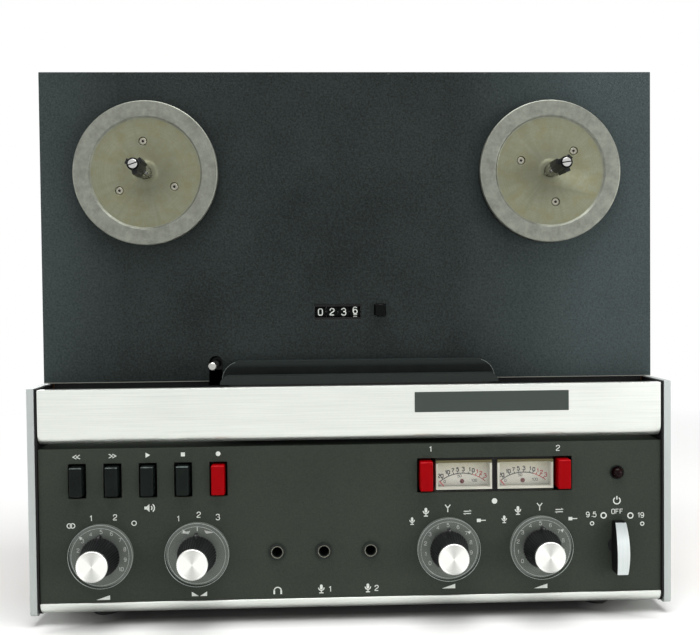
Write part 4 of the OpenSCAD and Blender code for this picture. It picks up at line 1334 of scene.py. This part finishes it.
@dataclass
class Turntable:
    """Turntable with screws, spindle tip and reel lock of one side."""

    side: str
    first_screw: float
    slot_angle: float
    screw_ring: float = 20.7
    sunk: float = 1.4
    screw_r: float = 2.25
    skirt: tuple[float, float, float, float] = (44.0, 46.9, 3.9, 8.2)
    tip_r: float = 2.8
    tip_gap: float = 0.75
    tip_h: float = 0.7
    tip_seat: tuple[Point, ...] = ((0.0, -0.1), (3.45, -0.1), (3.6, 0.0), (3.6, 1.2), (0.0, 1.2))

    def build(self) -> None:
        """Dresses the turned parts and adds three socket screws and a slotted tip screw."""
        body = self.side + "_reel"
        x, _, z = joint_at(self.side + "_reel_spin")
        finish = TableMetal(self.side + "_turntable", tone(130, 132, 113), tone(114, 116, 97),
                            tone(117, 115, 88), (x, z), ring=tone(134, 137, 127))
        soften(self.side + "_turntable", finish, 0.4, 3)
        dress(STEEL, self.side + "_spindle")
        soften(self.side + "_reel_lock", BLACK_PLASTIC, 0.35)
        face = node_box(self.side + "_turntable")[0][1] + self.sunk
        r = self.screw_r
        head = [(0.0, 1.05), (r, 1.05), (r, 0.35), (r - 0.3, 0.1), (0.45 * r, 0.1), (0.4 * r, 0.2),
                (0.4 * r, 0.9), (0.0, 0.9)]
        socket = [(0.0, 0.3), (0.39 * r, 0.3), (0.39 * r, 0.85), (0.0, 0.85)]
        spots = arc((x, z), self.screw_ring, self.first_screw, self.first_screw + 240.0, 3)
        heads = [lathe(at, shifted(head, face), 40) for at in spots]
        sockets = [lathe(at, shifted(socket, face), 24) for at in spots]
        piece(self.side + "_table_screws", Shape.join(heads), body, SCREW_STEEL)
        # A black ring under the turntable's rim stands in for the shade in the gap between turntable and
        # deck.
        r0, r1, y0, y1 = self.skirt
        skirt = shifted([(r0, y0), (r1, y0), (r1, y1 - 0.4), (r1 - 0.4, y1), (r0, y1)], face - self.sunk)
        turned = lathe((x, z), skirt, 120, closed=True)
        piece(self.side + "_skirt", turned, body, STRIP_BLACK)
        piece(self.side + "_screw_sockets", Shape.join(sockets), body, STRIP_BLACK)
        tip = node_box(self.side + "_spindle")[0][1]
        piece(self.side + "_tip_screw", self.slotted((x, z), tip), body, PLAIN_ALUMINIUM)
        seat = lathe((x, z), shifted(self.tip_seat, tip), 40)
        piece(self.side + "_tip_slot", seat, body, COUNTER_BLACK)

    def slotted(self, at: Point, y: float) -> Shape:
        """Two halves of a round head with a slot between them, on a plane at y.

        Each half is the part of a circle over half the gap; the halves are turned by the slot's angle.

        Args:
            at: Axis in x and z.
            y: Plane that the head lies on.

        Returns:
            The two halves.
        """
        edge = math.degrees(math.asin(self.tip_gap / 2.0 / self.tip_r))
        halves = []
        for start in (self.slot_angle, self.slot_angle + 180.0):
            rim = arc(at, self.tip_r, start + edge, start + 180.0 - edge, 24)
            inner = arc(at, self.tip_r - 0.3, start + edge * 1.1, start + 180.0 - edge * 1.1, 24)
            levels = ((rim, y), (rim, y - self.tip_h + 0.3), (inner, y - self.tip_h))
            halves.append(stacked([np.insert(flat, 1, depth, 1) for flat, depth in levels]))
        return Shape.join(halves)


@dataclass
class Counter:
    """Digit wheels with raised white figures, and the reset button."""

    shown: tuple[float, ...] = (0.0, 2.0, 3.0, 5.84)
    digit_h: float = 4.1
    opening_h: float = 7.3
    window_h: float = 10.3
    bezel_sunk: float = 0.5
    bezel_over: float = 0.3
    bezel_t: float = 0.7
    digit_weight: float = 0.95
    underline: tuple[float, float, float] = (1.2, 0.75, 0.5)
    digit_step: float = 36.0
    ink: float = 0.08
    wheels: tuple[str, ...] = ("thousands", "hundreds", "tens", "units")

    def build(self) -> None:
        """Wraps ten figures on each wheel: height on the flat becomes an angle, depth becomes radius."""
        soften("reset_key", COUNTER_BLACK, 0.7, 3)
        self.bezel()
        for wheel, value in zip(self.wheels, self.shown):
            node = wheel + "_wheel"
            dress(COUNTER_BLACK, node)
            lo, hi = node_box(node)
            middle, radius = (lo + hi) / 2.0, (hi[2] - lo[2]) / 2.0
            figures = []
            for digit in range(10):
                flat = [numerals(str(digit), (0.0, 0.0), self.digit_h, 0.0, self.ink, self.digit_weight)]
                if digit in (6, 9):
                    half, gap, width = self.underline
                    low = -self.digit_h / 2.0 - gap
                    flat.append(stroke([(-half, low), (half, low)], width, 0.0, self.ink))
                turn = math.radians(self.digit_step) * (digit - value)
                figures.append(Shape.join(flat).mapped(self.wrap, turn, radius, middle))
            piece(wheel + "_figures", Shape.join(figures), node, WHITE_INK)

    def bezel(self) -> None:
        """Lays two black bars into the deck's window, so that one row of figures shows."""
        lo, hi = node_box("thousands_wheel")[0], node_box("units_wheel")[1]
        middle = (lo[2] + hi[2]) / 2.0
        front = node_box("deck_plate")[0][1] + self.bezel_sunk
        left, right = lo[0] - self.bezel_over, hi[0] + self.bezel_over
        bars = []
        for sign in (-1.0, 1.0):
            ends = sorted((middle + sign * self.opening_h / 2.0, middle + sign * self.window_h / 2.0))
            bars.append(box((left, front, ends[0]), (right, front + self.bezel_t, ends[1])))
        piece("counter_bezel", Shape.join(bars), "machine", STRIP_BLACK)

    def wrap(self, points: np.ndarray, turn: float, radius: float, middle: np.ndarray) -> np.ndarray:
        """Bends flat figures round a wheel's axis along X.

        Args:
            points: Flat points, with depth of the ink in y.
            turn: Angle of the figure above the front.
            radius: Radius of the wheel.
            middle: Middle of the wheel.

        Returns:
            Points on the wheel.
        """
        angle = turn + points[:, 2] / radius
        out = radius + self.ink - points[:, 1]
        return np.column_stack([middle[0] + points[:, 0], middle[1] - out * np.cos(angle),
                                middle[2] + out * np.sin(angle)])


@dataclass
class Deck:
    """Deck plate, head cover, tape guide and the parts behind the flap."""

    guide_reach: float = 30.0
    pin_r: float = 2.55
    sleeve_h: float = 16.0
    sleeve_proud: float = 0.3
    lip_inset: float = 6.0
    lip_y: Point = (0.2, 0.9)
    lip_z: Point = (-5.0, 0.6)
    cover_h: float = 9.0
    corner: float = 12.0
    edge_w: float = 0.3
    edge_sweep: float = 75.0

    def build(self) -> None:
        """Softens the plate and cover and dresses the tape path."""
        soften("deck_plate", DECK_PAINT, 0.5)
        soften("head_cover", COVER_BLACK, 0.5, 3)
        soften("guide_arm", BLACK_PLASTIC, 0.5, 2)
        soften("pinch_arm", STEEL, 0.4)
        soften("tape_heads", HEAD_METAL, 0.5, 3)
        lo, hi = node_box("head_cover")
        lip = box((lo[0] + self.lip_inset, lo[1] + self.lip_y[0], lo[2] + self.lip_z[0]),
                  (hi[0] - self.lip_inset, lo[1] + self.lip_y[1], lo[2] + self.lip_z[1]))
        piece("cover_lip", lip, "machine", STRIP_BLACK)
        # Pale arcs on the cover's rounded upper corners are painted highlights.
        front = node_box("deck_plate")[0][1] - self.cover_h
        starts = ((lo[0] + self.corner, 105.0), (hi[0] - self.corner, 0.0))
        bends = [arc((x, hi[2] - self.corner), self.corner - self.edge_w, a, a + self.edge_sweep, 20)
                 for x, a in starts]
        lines = Shape.join([stroke(bend, self.edge_w, front - 0.06, front + 0.1) for bend in bends])
        piece("cover_highlights", lines, "machine", COVER_HIGHLIGHT)
        x, _, z = joint_at("guide_swing")
        r, h = self.pin_r, self.sleeve_h
        tip = node_box("guide_arm")[0][1] - self.sleeve_proud
        sleeve = shifted([(0.0, 0.0), (r - 0.5, 0.0), (r, 0.5), (r, h), (0.0, h)], tip)
        piece("guide_sleeve", lathe((x - self.guide_reach, z), sleeve, 40), "guide_arm", STEEL)
        dress(PLAIN_ALUMINIUM, "head_carrier")
        soften("capstan", STEEL, 0.3)
        dress(RUBBER, "pinch_roller")


@dataclass
class FlapUnit:
    """Bright flap with its bare name strip, the lower trim, side plates and black strips."""

    strip_x: Point = (39.8, 139.8)
    strip_z: Point = (134.2, 147.2)
    strip_t: float = 0.5

    def build(self) -> None:
        """Softens the sheet parts and lays the strip on the flap's front."""
        soften("flap", BRIGHT_ALUMINIUM, 0.45)
        soften("control_tray", BRIGHT_ALUMINIUM, 0.4)
        soften("side_plates", SATIN_ALUMINIUM, 0.8, 3)
        dress(STRIP_BLACK, "side_strips")
        front = node_box("flap")[0][1]
        centre = (sum(self.strip_x) / 2.0, sum(self.strip_z) / 2.0)
        size = (self.strip_x[1] - self.strip_x[0], self.strip_z[1] - self.strip_z[0])
        levels = [(front, 0.0), (front - self.strip_t + 0.15, 0.0), (front - self.strip_t, 0.15)]
        piece("name_strip", plate(centre, size[0], size[1], 0.3, levels), "flap", NAME_STRIP)


@dataclass
class DialKnob:
    """Clear dial with an index mark, and the fluted knob with a turned face in its middle."""

    knob: str
    dial: str
    index_angle: float
    face_r: float = 9.7
    base_r: float = 12.6
    cap_t: float = 2.4
    depth: float = 19.7
    pointer: tuple[float, float, float] = (2.6, 5.2, 0.9)
    pointer_in: float = 0.8
    mark_r: float = 17.4
    mark_ahead: float = 1.5
    mark_behind: float = 0.9
    mark_half: float = 1.1
    mark_sunk: float = 0.8
    ink: float = 0.06
    rim_r: Point = (18.25, 20.3)
    bead: tuple[Point, ...] = ((-0.15, 0.4), (-0.15, 0.12), (0.0, -0.03), (0.1, -0.02), (0.1, 0.4))

    def build(self) -> None:
        """Builds the knob's body, cap and pointer, and the dial's mark."""
        node, dial = self.knob + "_knob", self.dial + "_dial"
        x, _, z = joint_at(self.knob + "_turn")
        front, shaft_end = node_box(node)[0][1], node_box(node)[1][1]
        dial_front, dial_back = node_box(dial)[0][1], front + self.depth
        soften(dial, ACRYLIC, 0.35, 3)
        # Two pale rings on the dial's rim are painted highlights of its edges.
        highlight_rings = [lathe((x, z), np.array(self.bead) + np.array([r, dial_front]), 120, closed=True)
                 for r in self.rim_r]
        piece(self.dial + "_beads", Shape.join(highlight_rings), dial, RIM_HIGHLIGHT)
        r, base, t = self.face_r, self.base_r, self.cap_t
        cone = [(0.0, front + 1.0), (r - 0.7, front + 1.0), (r - 0.5, front + t), (r, front + t + 0.2),
                (r + 0.1, front + 4.0), (base - 0.4, dial_back - 1.6), (base, dial_back - 1.0),
                (base, dial_back - 0.3), (base - 0.3, dial_back), (3.0, dial_back), (3.0, shaft_end),
                (0.0, shaft_end)]
        fluted = lathe((x, z), cone, 240, 40, 0.4)
        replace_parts(piece(node + "_body", fluted, node, KNOB_BLACK, 50.0), node)
        cap = [(0.0, 0.2), (0.2, 0.2), (3.0, 0.2), (6.0, 0.2), (r - 1.1, 0.2), (r - 0.8, 0.0),
               (r - 0.35, 0.0), (r, 0.35), (r, t - 0.3), (r - 0.3, t), (0.0, t)]
        spun = lathe((x, z), shifted(cap, front), 192, 48, 0.22)
        polar_map(piece(node + "_cap", spun, node, SPUN_ALUMINIUM, 28.0), (x, z))
        levels = [(dial_back, 0.0), (dial_back - 4.2, 0.0), (dial_back - 5.0, 0.7)]
        ridge = plate((0.0, 0.0), *self.pointer, levels).moved(x, 0.0, z + base - self.pointer_in)
        piece(node + "_pointer", ridge, node, KNOB_BLACK)
        turn = math.radians(self.index_angle)
        aim = np.array([math.sin(turn), math.cos(turn)])
        across = np.array([aim[1], -aim[0]])
        spot = np.array([x, z]) + self.mark_r * aim
        tail, half = spot - self.mark_behind * aim, self.mark_half * across
        mark = [spot + self.mark_ahead * aim, tail - half, tail + half]
        disc = dial_front + self.mark_sunk
        piece(self.dial + "_index", prism(mark, disc - self.ink, disc), dial, WHITE_INK)


@dataclass
class Meter:
    """Level meter: cream card with scale, red zone and dot, behind a clear window."""

    side: str
    centre_x: float
    arc_z: float = 69.0
    arc_r: float = 23.8
    sweep: float = 38.6
    red_from: float = 15.5
    black_count: int = 7
    line_w: float = 0.55
    card_t: float = 0.2
    ink_front: float = 0.26
    label_out: float = 2.75
    label_h: float = 2.2
    small_ticks: tuple[float, float, int] = (-30.0, 12.0, 11)
    per_cent: tuple[tuple[str, float, float], ...] = (
        ("0", -11.7, 87.6), ("50", -2.0, 91.1), ("100", 7.6, 88.0))
    per_cent_h: float = 1.6
    dot_at: Point = (-0.3, 18.6)
    dot: tuple[Point, ...] = ((0.0, 0.2), (1.5, 0.2), (1.4, 0.6), (0.8, 0.85), (0.0, 0.95))
    labels: tuple[str, ...] = ("20", "10", "7", "5", "3", "1", "0", "1", "2", "3")
    places: tuple[float, ...] = (-33.0, -22.0, -14.0, -7.0, 1.0, 10.0, 15.5, 21.0, 27.0, 34.0)

    def clock(self, radius: float, angle: float) -> Point:
        """A point at a radius and at an angle in degrees from straight up."""
        turn = math.radians(angle)
        return (self.centre_x + radius * math.sin(turn), self.arc_z + radius * math.cos(turn))

    def sweep_line(self, start: float, end: float, y0: float, y1: float) -> Shape:
        """A part of the scale's arc between two angles from straight up."""
        path = arc((self.centre_x, self.arc_z), self.arc_r, 90.0 - start, 90.0 - end, 30)
        return stroke(path, self.line_w, y0, y1)

    def build(self, card_y: float, low: float, high: float, width: float) -> None:
        """Lays the card and its print in front of the case's floor.

        Args:
            card_y: Plane of the case's floor.
            low: Lower edge of the card.
            high: Upper edge of the card.
            width: Width of the card.
        """
        x = self.centre_x
        at = (x, (low + high) / 2.0)
        y0, y1 = card_y - self.ink_front, card_y - self.card_t
        card = plate(at, width, high - low, 0.4, [(card_y, 0.0), (y1, 0.0)])
        piece(self.side + "_card", card, "machine", METER_CARD)
        r, scale = self.arc_r, list(zip(self.labels, self.places))
        black = [self.sweep_line(-self.sweep, self.red_from, y0, y1)]
        red = [self.sweep_line(self.red_from, self.sweep, y0, y1)]
        zones = ((black, scale[:self.black_count], 1.3, 0.5), (red, scale[self.black_count:], 1.5, 0.6))
        for inks, marks, long, thick in zones:
            for label, a in marks:
                inks += [stroke([self.clock(r, a), self.clock(r + long, a)], thick, y0, y1),
                         numerals(label, self.clock(r + self.label_out, a), self.label_h, y0, y1, 1.7)]
        black += [stroke([self.clock(r, a), self.clock(r + 0.8, a)], 0.24, y0, y1)
                  for a in np.linspace(*self.small_ticks)]
        black += [numerals(text, (x + dx, z), self.per_cent_h, y0, y1, 1.1) for text, dx, z in self.per_cent]
        piece(self.side + "_scale", Shape.join(black), "machine", BLACK_INK)
        piece(self.side + "_red_scale", Shape.join(red), "machine", RED_INK)
        at = (x + self.dot_at[0], self.arc_z + self.dot_at[1])
        dome = lathe(at, [(a, card_y - b) for a, b in self.dot], 32)
        piece(self.side + "_dot", dome, "machine", RED_DOT)


@dataclass
class ControlPanel:
    """Panel with printed marks, keys, dials, meters, jacks, lamp and power lever."""

    ink: float = 0.08
    black_keys: tuple[str, ...] = ("rewind", "forward", "play", "stop")
    red_keys: tuple[str, ...] = ("record", "channel_1", "channel_2")
    mark_h: float = 3.0
    jack_x: tuple[float, ...] = (-49.6, -19.5, 10.6)
    ground_r: Point = (7.0, 20.3)
    ground_t: float = 0.03
    number_ring: float = 15.2
    number_sweep: Point = (-128.0, 127.0)
    number_h: float = 2.2
    card_depth: float = 6.0
    card_w: float = 33.5
    lining_y: Point = (1.0, 1.9)
    lining_z: Point = (0.1, 1.4)
    post_half: float = 1.7
    arrow: tuple[Point, ...] = ((10.6, 13.4), (4.4, 14.8), (5.6, 12.6))
    middle_tick: tuple[float, float, float] = (0.3, 14.4, 17.4)
    dials: tuple[tuple[str, str, float], ...] = (
        ("volume", "monitor", -45.0), ("balance", "source", -28.0), ("level_1", "input_1", 50.0),
        ("level_2", "input_2", 50.0))

    def build(self) -> None:
        """Builds the panel's sub-assemblies in order."""
        soften("control_panel", PANEL_PAINT, 0.25)
        for key in self.black_keys:
            soften(key + "_key", KEY_BLACK, 1.3, 5)
        for key in self.red_keys:
            soften(key + "_key", KEY_RED, 1.0, 5)
        for knob, dial, index_angle in self.dials:
            DialKnob(knob, dial, index_angle).build()
        self.meters()
        self.marks()
        self.scales()
        self.jacks()
        soften("power_lever", LEVER, 0.35)

    def meters(self) -> None:
        """Adds cards, windows, needles and the black lining of the meters' cut."""
        soften("vu_meters", METER_CASE, 0.3)
        dress(WINDOW, "meter_windows")
        dress(NEEDLE_RED, "left_needle", "right_needle")
        lo, hi = node_box("meter_windows")
        panel = node_box("control_panel")[0][1]
        for side in ("left", "right"):
            meter = Meter(side + "_meter", joint_at(side + "_needle_swing")[0])
            meter.build(panel + self.card_depth, lo[2] - 0.1, hi[2] + 0.1, self.card_w)
        case_lo, case_hi = node_box("vu_meters")
        key_lo, key_hi = node_box("channel_1_key")
        top = case_hi[2]
        low = key_lo[2] + key_hi[2] - top
        front, back = panel + self.lining_y[0], panel + self.lining_y[1]
        near, far = self.lining_z
        edges = ((low - far, low - near), (top + near, top + far))
        bars = [box((case_lo[0], front, a), (case_hi[0], back, b)) for a, b in edges]
        middle, half = (case_lo[0] + case_hi[0]) / 2.0, self.post_half
        bars.append(box((middle - half, front, low - near), (middle + half, back, top + near)))
        piece("meter_lining", Shape.join(bars), "machine", STRIP_BLACK)

    def jacks(self) -> None:
        """Dresses the jacks and the lamp and adds their seats and rim."""
        soften("jack_sockets", JACK_BLACK, 0.35)
        front = node_box("jack_sockets")[0][1]
        seat = shifted([(3.22, 0.9), (3.22, 0.5), (3.62, -0.02), (3.8, -0.02), (3.8, 0.9)], front)
        seats = [lathe((x, joint_at("volume_turn")[2]), seat, 40, closed=True) for x in self.jack_x]
        piece("jack_seats", Shape.join(seats), "machine", DULL_STEEL)
        dress(RED_LENS, "indicator_lamp")
        lo, hi = node_box("indicator_lamp")
        panel = node_box("control_panel")[0][1]
        at = ((lo[0] + hi[0]) / 2.0, (lo[2] + hi[2]) / 2.0)
        rim = shifted([(3.6, 0.0), (4.7, 0.0), (4.6, -0.5), (4.2, -0.8), (3.7, -0.7)], panel)
        piece("lamp_rim", lathe(at, rim, 48, closed=True), "machine", KEY_BLACK)

    def marks(self) -> None:
        """Prints pictograms and numbers on the panel."""
        y1 = node_box("control_panel")[0][1]
        y0, h = y1 - self.ink, self.mark_h
        drawn = [
            (Mark.BACK, (-176.2, 108.6), h), (Mark.AHEAD, (-153.8, 108.9), h),
            (Mark.PLAY, (-131.4, 109.1), h), (Mark.STOP, (-109.0, 109.2), 2.8),
            (Mark.RECORD, (-86.6, 109.3), 3.0), (Mark.SPEAKER, (-130.7, 75.2), 4.6),
            (Mark.PAIR, (-180.5, 64.6), 3.4), (Mark.SINGLE, (-140.6, 65.6), 3.4),
            (Mark.WEDGE, (-160.9, 18.1), 3.6), (Mark.BALANCE, (-99.7, 19.2), 3.6),
            (Mark.PHONES, (-49.6, 20.4), 4.2), (Mark.MICROPHONE, (-21.5, 20.6), 4.2),
            (Mark.MICROPHONE, (8.6, 20.6), 4.2), (Mark.RECORD, (91.3, 75.6), 3.6),
            (Mark.POWER, (171.6, 74.6), 4.4),
        ]
        for x, z in ((37.6, 63.5), (97.6, 63.5)):
            drawn += [(Mark.MICROPHONE, (x, z), 3.6), (Mark.MICROPHONE, (x + 9.0, z + 5.6), 4.2),
                      (Mark.AERIAL, (x + 23.2, z + 7.8), 4.0), (Mark.EXCHANGE, (x + 36.0, z + 5.0), 3.4),
                      (Mark.PLUG, (x + 45.0, z - 0.4), 3.6)]
        drawn += [(Mark.WEDGE, (x, z), 3.6) for x, z in ((61.0, 20.6), (121.3, 19.4))]
        solids = [mark.shape(at, size, y0, y1) for mark, at, size in drawn]
        texts = [("1", (-168.0, 69.2), 3.2), ("2", (-152.6, 69.5), 3.2), ("1", (-112.7, 67.9), 3.2),
                 ("2", (-99.5, 70.2), 3.2), ("3", (-87.4, 68.5), 3.2), ("1", (-16.0, 20.4), 3.2),
                 ("2", (14.2, 20.4), 3.2), ("1", (49.7, 110.0), 3.2), ("2", (132.9, 109.4), 3.2),
                 ("OFF", (171.8, 67.3), 2.9), ("9.5", (154.6, 65.6), 3.0), ("19", (187.2, 64.6), 3.0)]
        solids += [numerals(text, at, size, y0, y1) for text, at, size in texts]
        rings = (((162.8, 64.8), 1.7, 0.8), ((180.5, 64.4), 1.7, 0.8), ((155.2, 59.7), 1.1, 0.6),
                 ((188.3, 58.9), 1.1, 0.6))
        solids += [ring(at, r, w, y0, y1) for at, r, w in rings]
        piece("panel_marks", Shape.join(solids), "machine", WHITE_INK)

    def scales(self) -> None:
        """Prints a ring of numbers behind the clear dials, and two arrows behind the second one."""
        y1 = node_box("control_panel")[0][1]
        y0 = y1 - self.ink
        solids = []
        for knob in ("volume", "level_1", "level_2"):
            x, _, z = joint_at(knob + "_turn")
            for i, angle in enumerate(np.radians(np.linspace(*self.number_sweep, 11))):
                at = (x + self.number_ring * math.sin(angle), z + self.number_ring * math.cos(angle))
                solids.append(numerals(str(i), at, self.number_h, y0, y1, 0.8))
        x, _, z = joint_at("balance_turn")
        for side in (-1.0, 1.0):
            solids.append(prism([(x + side * a, z + b) for a, b in self.arrow], y0, y1))
        half, low, high = self.middle_tick
        solids.append(box((x - half, y0, z + low), (x + half, y1, z + high)))
        piece("dial_numbers", Shape.join(solids), "machine", WHITE_INK)
        # Pale grey rings on the panel under each clear dial are a painted reflection of the dial.
        low, high = self.ground_r
        flat = [(low, y1), (low, y1 - self.ground_t), (high, y1 - self.ground_t), (high, y1)]
        knobs = [joint_at(knob + "_turn") for knob, _, _ in self.dials]
        reflection_discs = [lathe((x, z), flat, 96, closed=True) for x, _, z in knobs]
        piece("dial_reflections", Shape.join(reflection_discs), "machine", DIAL_REFLECTION)


@dataclass
class Studio:
    """Pale floor, white surroundings, soft lamps and the camera."""

    eye: tuple[float, float, float] = (-20.18, -613.3, 208.23)
    turn: tuple[float, float, float] = (-1.358, 0.564, -2.041)
    lens: float = 42.86
    sky: float = 0.22
    floor_half: float = 6.0
    dull_x: Point = (0.15, 0.2)
    dull_y: Point = (0.08, 0.104)
    dull_middle: float = 0.012
    dull_share: float = 0.12
    fade: Point = (0.4, 1.1)

    def build(self) -> None:
        """Builds the surroundings and the camera."""
        self.floor()
        self.world()
        self.lamp("key_lamp", (1.45, -1.15, 0.34), (0.0, -0.05, 0.2), (0.9, 0.55), 10.5)
        self.lamp("fill_lamp", (-1.45, -1.15, 0.34), (0.0, -0.05, 0.2), (0.9, 0.55), 4.3)
        self.lamp("rear_lamp", (-0.3, 1.7, 0.3), (0.0, 0.1, 0.2), (1.7, 0.5), 10.0)
        self.lamp("top_lamp", (0.1, -0.35, 1.5), (0.0, -0.1, 0.1), (1.4, 0.9), 26.0)
        self.camera()

    def floor(self) -> None:
        """Lays a wide pale sheet with a painted shadow right under the machine, that fades to white far from
        it.
        """
        h = self.floor_half
        mesh = bpy.data.meshes.new("floor")
        mesh.from_pydata([(-h, -h, 0), (h, -h, 0), (h, h, 0), (-h, h, 0)], [], [(0, 1, 2, 3)])
        g = Graph("floor")
        cloud = g.noise(g.cells((300.0,) * 3), 3.0)
        x, y, _ = g.axes()
        # Painted shadow: the sheet darkens towards black inside the machine's footprint.
        out_x = g.spread(g.sum("ABSOLUTE", x), *self.dull_x)
        out_y = g.spread(g.sum("ABSOLUTE", g.sum("SUBTRACT", y, self.dull_middle)), *self.dull_y)
        outside_painted_shadow = g.spread(g.sum("MAXIMUM", out_x, out_y), 0.0, 1.0, self.dull_share, 1.0)
        sheet = g.blend(cloud, tone(246, 246, 244), tone(250, 250, 249))
        g.shade(base_color=g.blend(outside_painted_shadow, tone(0, 0, 0), sheet), roughness=0.6, specular_ior_level=0.2)
        far = g.add("ShaderNodeVectorMath", {0: g.place}, operation="LENGTH").outputs["Value"]
        white = g.add("ShaderNodeEmission", {"Color": (1.0, 1.0, 1.0, 1.0), "Strength": 1.0}).outputs[0]
        share = g.sum("MULTIPLY", seen_directly(g.tree), g.spread(far, *self.fade))
        mixed = g.add("ShaderNodeMixShader", {0: share, 1: g.shader.outputs[0], 2: white}).outputs[0]
        out = next(n for n in g.tree.nodes if n.type == "OUTPUT_MATERIAL")
        g.tree.links.new(mixed, out.inputs["Surface"])
        mesh.materials.append(g.material)
        obj = bpy.data.objects.new("floor", mesh)
        bpy.context.scene.collection.objects.link(obj)

    def world(self) -> None:
        """White all round for the eye and for mirrors, softer for the light on surfaces."""
        world = bpy.data.worlds.new("studio")
        bpy.context.scene.world = world
        world.use_nodes = True
        tree = world.node_tree
        tree.nodes.clear()
        out = tree.nodes.new("ShaderNodeOutputWorld")
        mix = tree.nodes.new("ShaderNodeMixShader")
        tree.links.new(seen_directly(tree), mix.inputs[0])
        for place, strength in ((1, self.sky), (2, 1.0)):
            white = tree.nodes.new("ShaderNodeBackground")
            white.inputs[0].default_value = (1.0, 1.0, 1.0, 1.0)
            white.inputs[1].default_value = strength
            tree.links.new(white.outputs[0], mix.inputs[place])
        tree.links.new(mix.outputs[0], out.inputs[0])

    def lamp(self, name: str, at: Sequence[float], aim: Sequence[float], size: Point, power: float) -> None:
        """Hangs a soft rectangular lamp.

        Args:
            name: Name of the lamp.
            at: Its place, in metres.
            aim: Point that it looks at.
            size: Its width and height.
            power: Its power in watts.
        """
        data = bpy.data.lights.new(name, "AREA")
        data.shape = "RECTANGLE"
        data.size, data.size_y = size
        data.energy = power
        obj = bpy.data.objects.new(name, data)
        obj.location = at
        obj.rotation_euler = (Vector(aim) - Vector(at)).to_track_quat("-Z", "Y").to_euler()
        bpy.context.scene.collection.objects.link(obj)

    def camera(self) -> None:
        """Stands the camera where the photograph was taken from."""
        data = bpy.data.cameras.new("camera")
        data.sensor_fit = "HORIZONTAL"
        data.sensor_width = 36.0
        data.lens = self.lens
        data.clip_start = 0.01
        data.clip_end = 50.0
        obj = bpy.data.objects.new("camera", data)
        level = Matrix.Rotation(math.pi / 2.0, 3, "X")
        look = Euler([math.radians(a) for a in self.turn], "XYZ").to_matrix() @ level
        obj.matrix_world = Matrix.Translation(Vector(self.eye) * MM) @ look.to_4x4()
        bpy.context.scene.collection.objects.link(obj)
        bpy.context.scene.camera = obj
        bpy.context.scene.view_settings.view_transform = "Standard"


def main() -> None:
    """Builds every sub-assembly."""
    logging.basicConfig(level=logging.INFO, format="%(name)s: %(message)s")
    parts: list[Any] = [Studio(), Cabinet(), Rear(), Deck(), Turntable("left", 94.0, 20.0),
                        Turntable("right", 40.0, 8.0), Counter(), FlapUnit(), ControlPanel()]
    for part in parts:
        part.build()


if __name__ == "__main__":
    main()
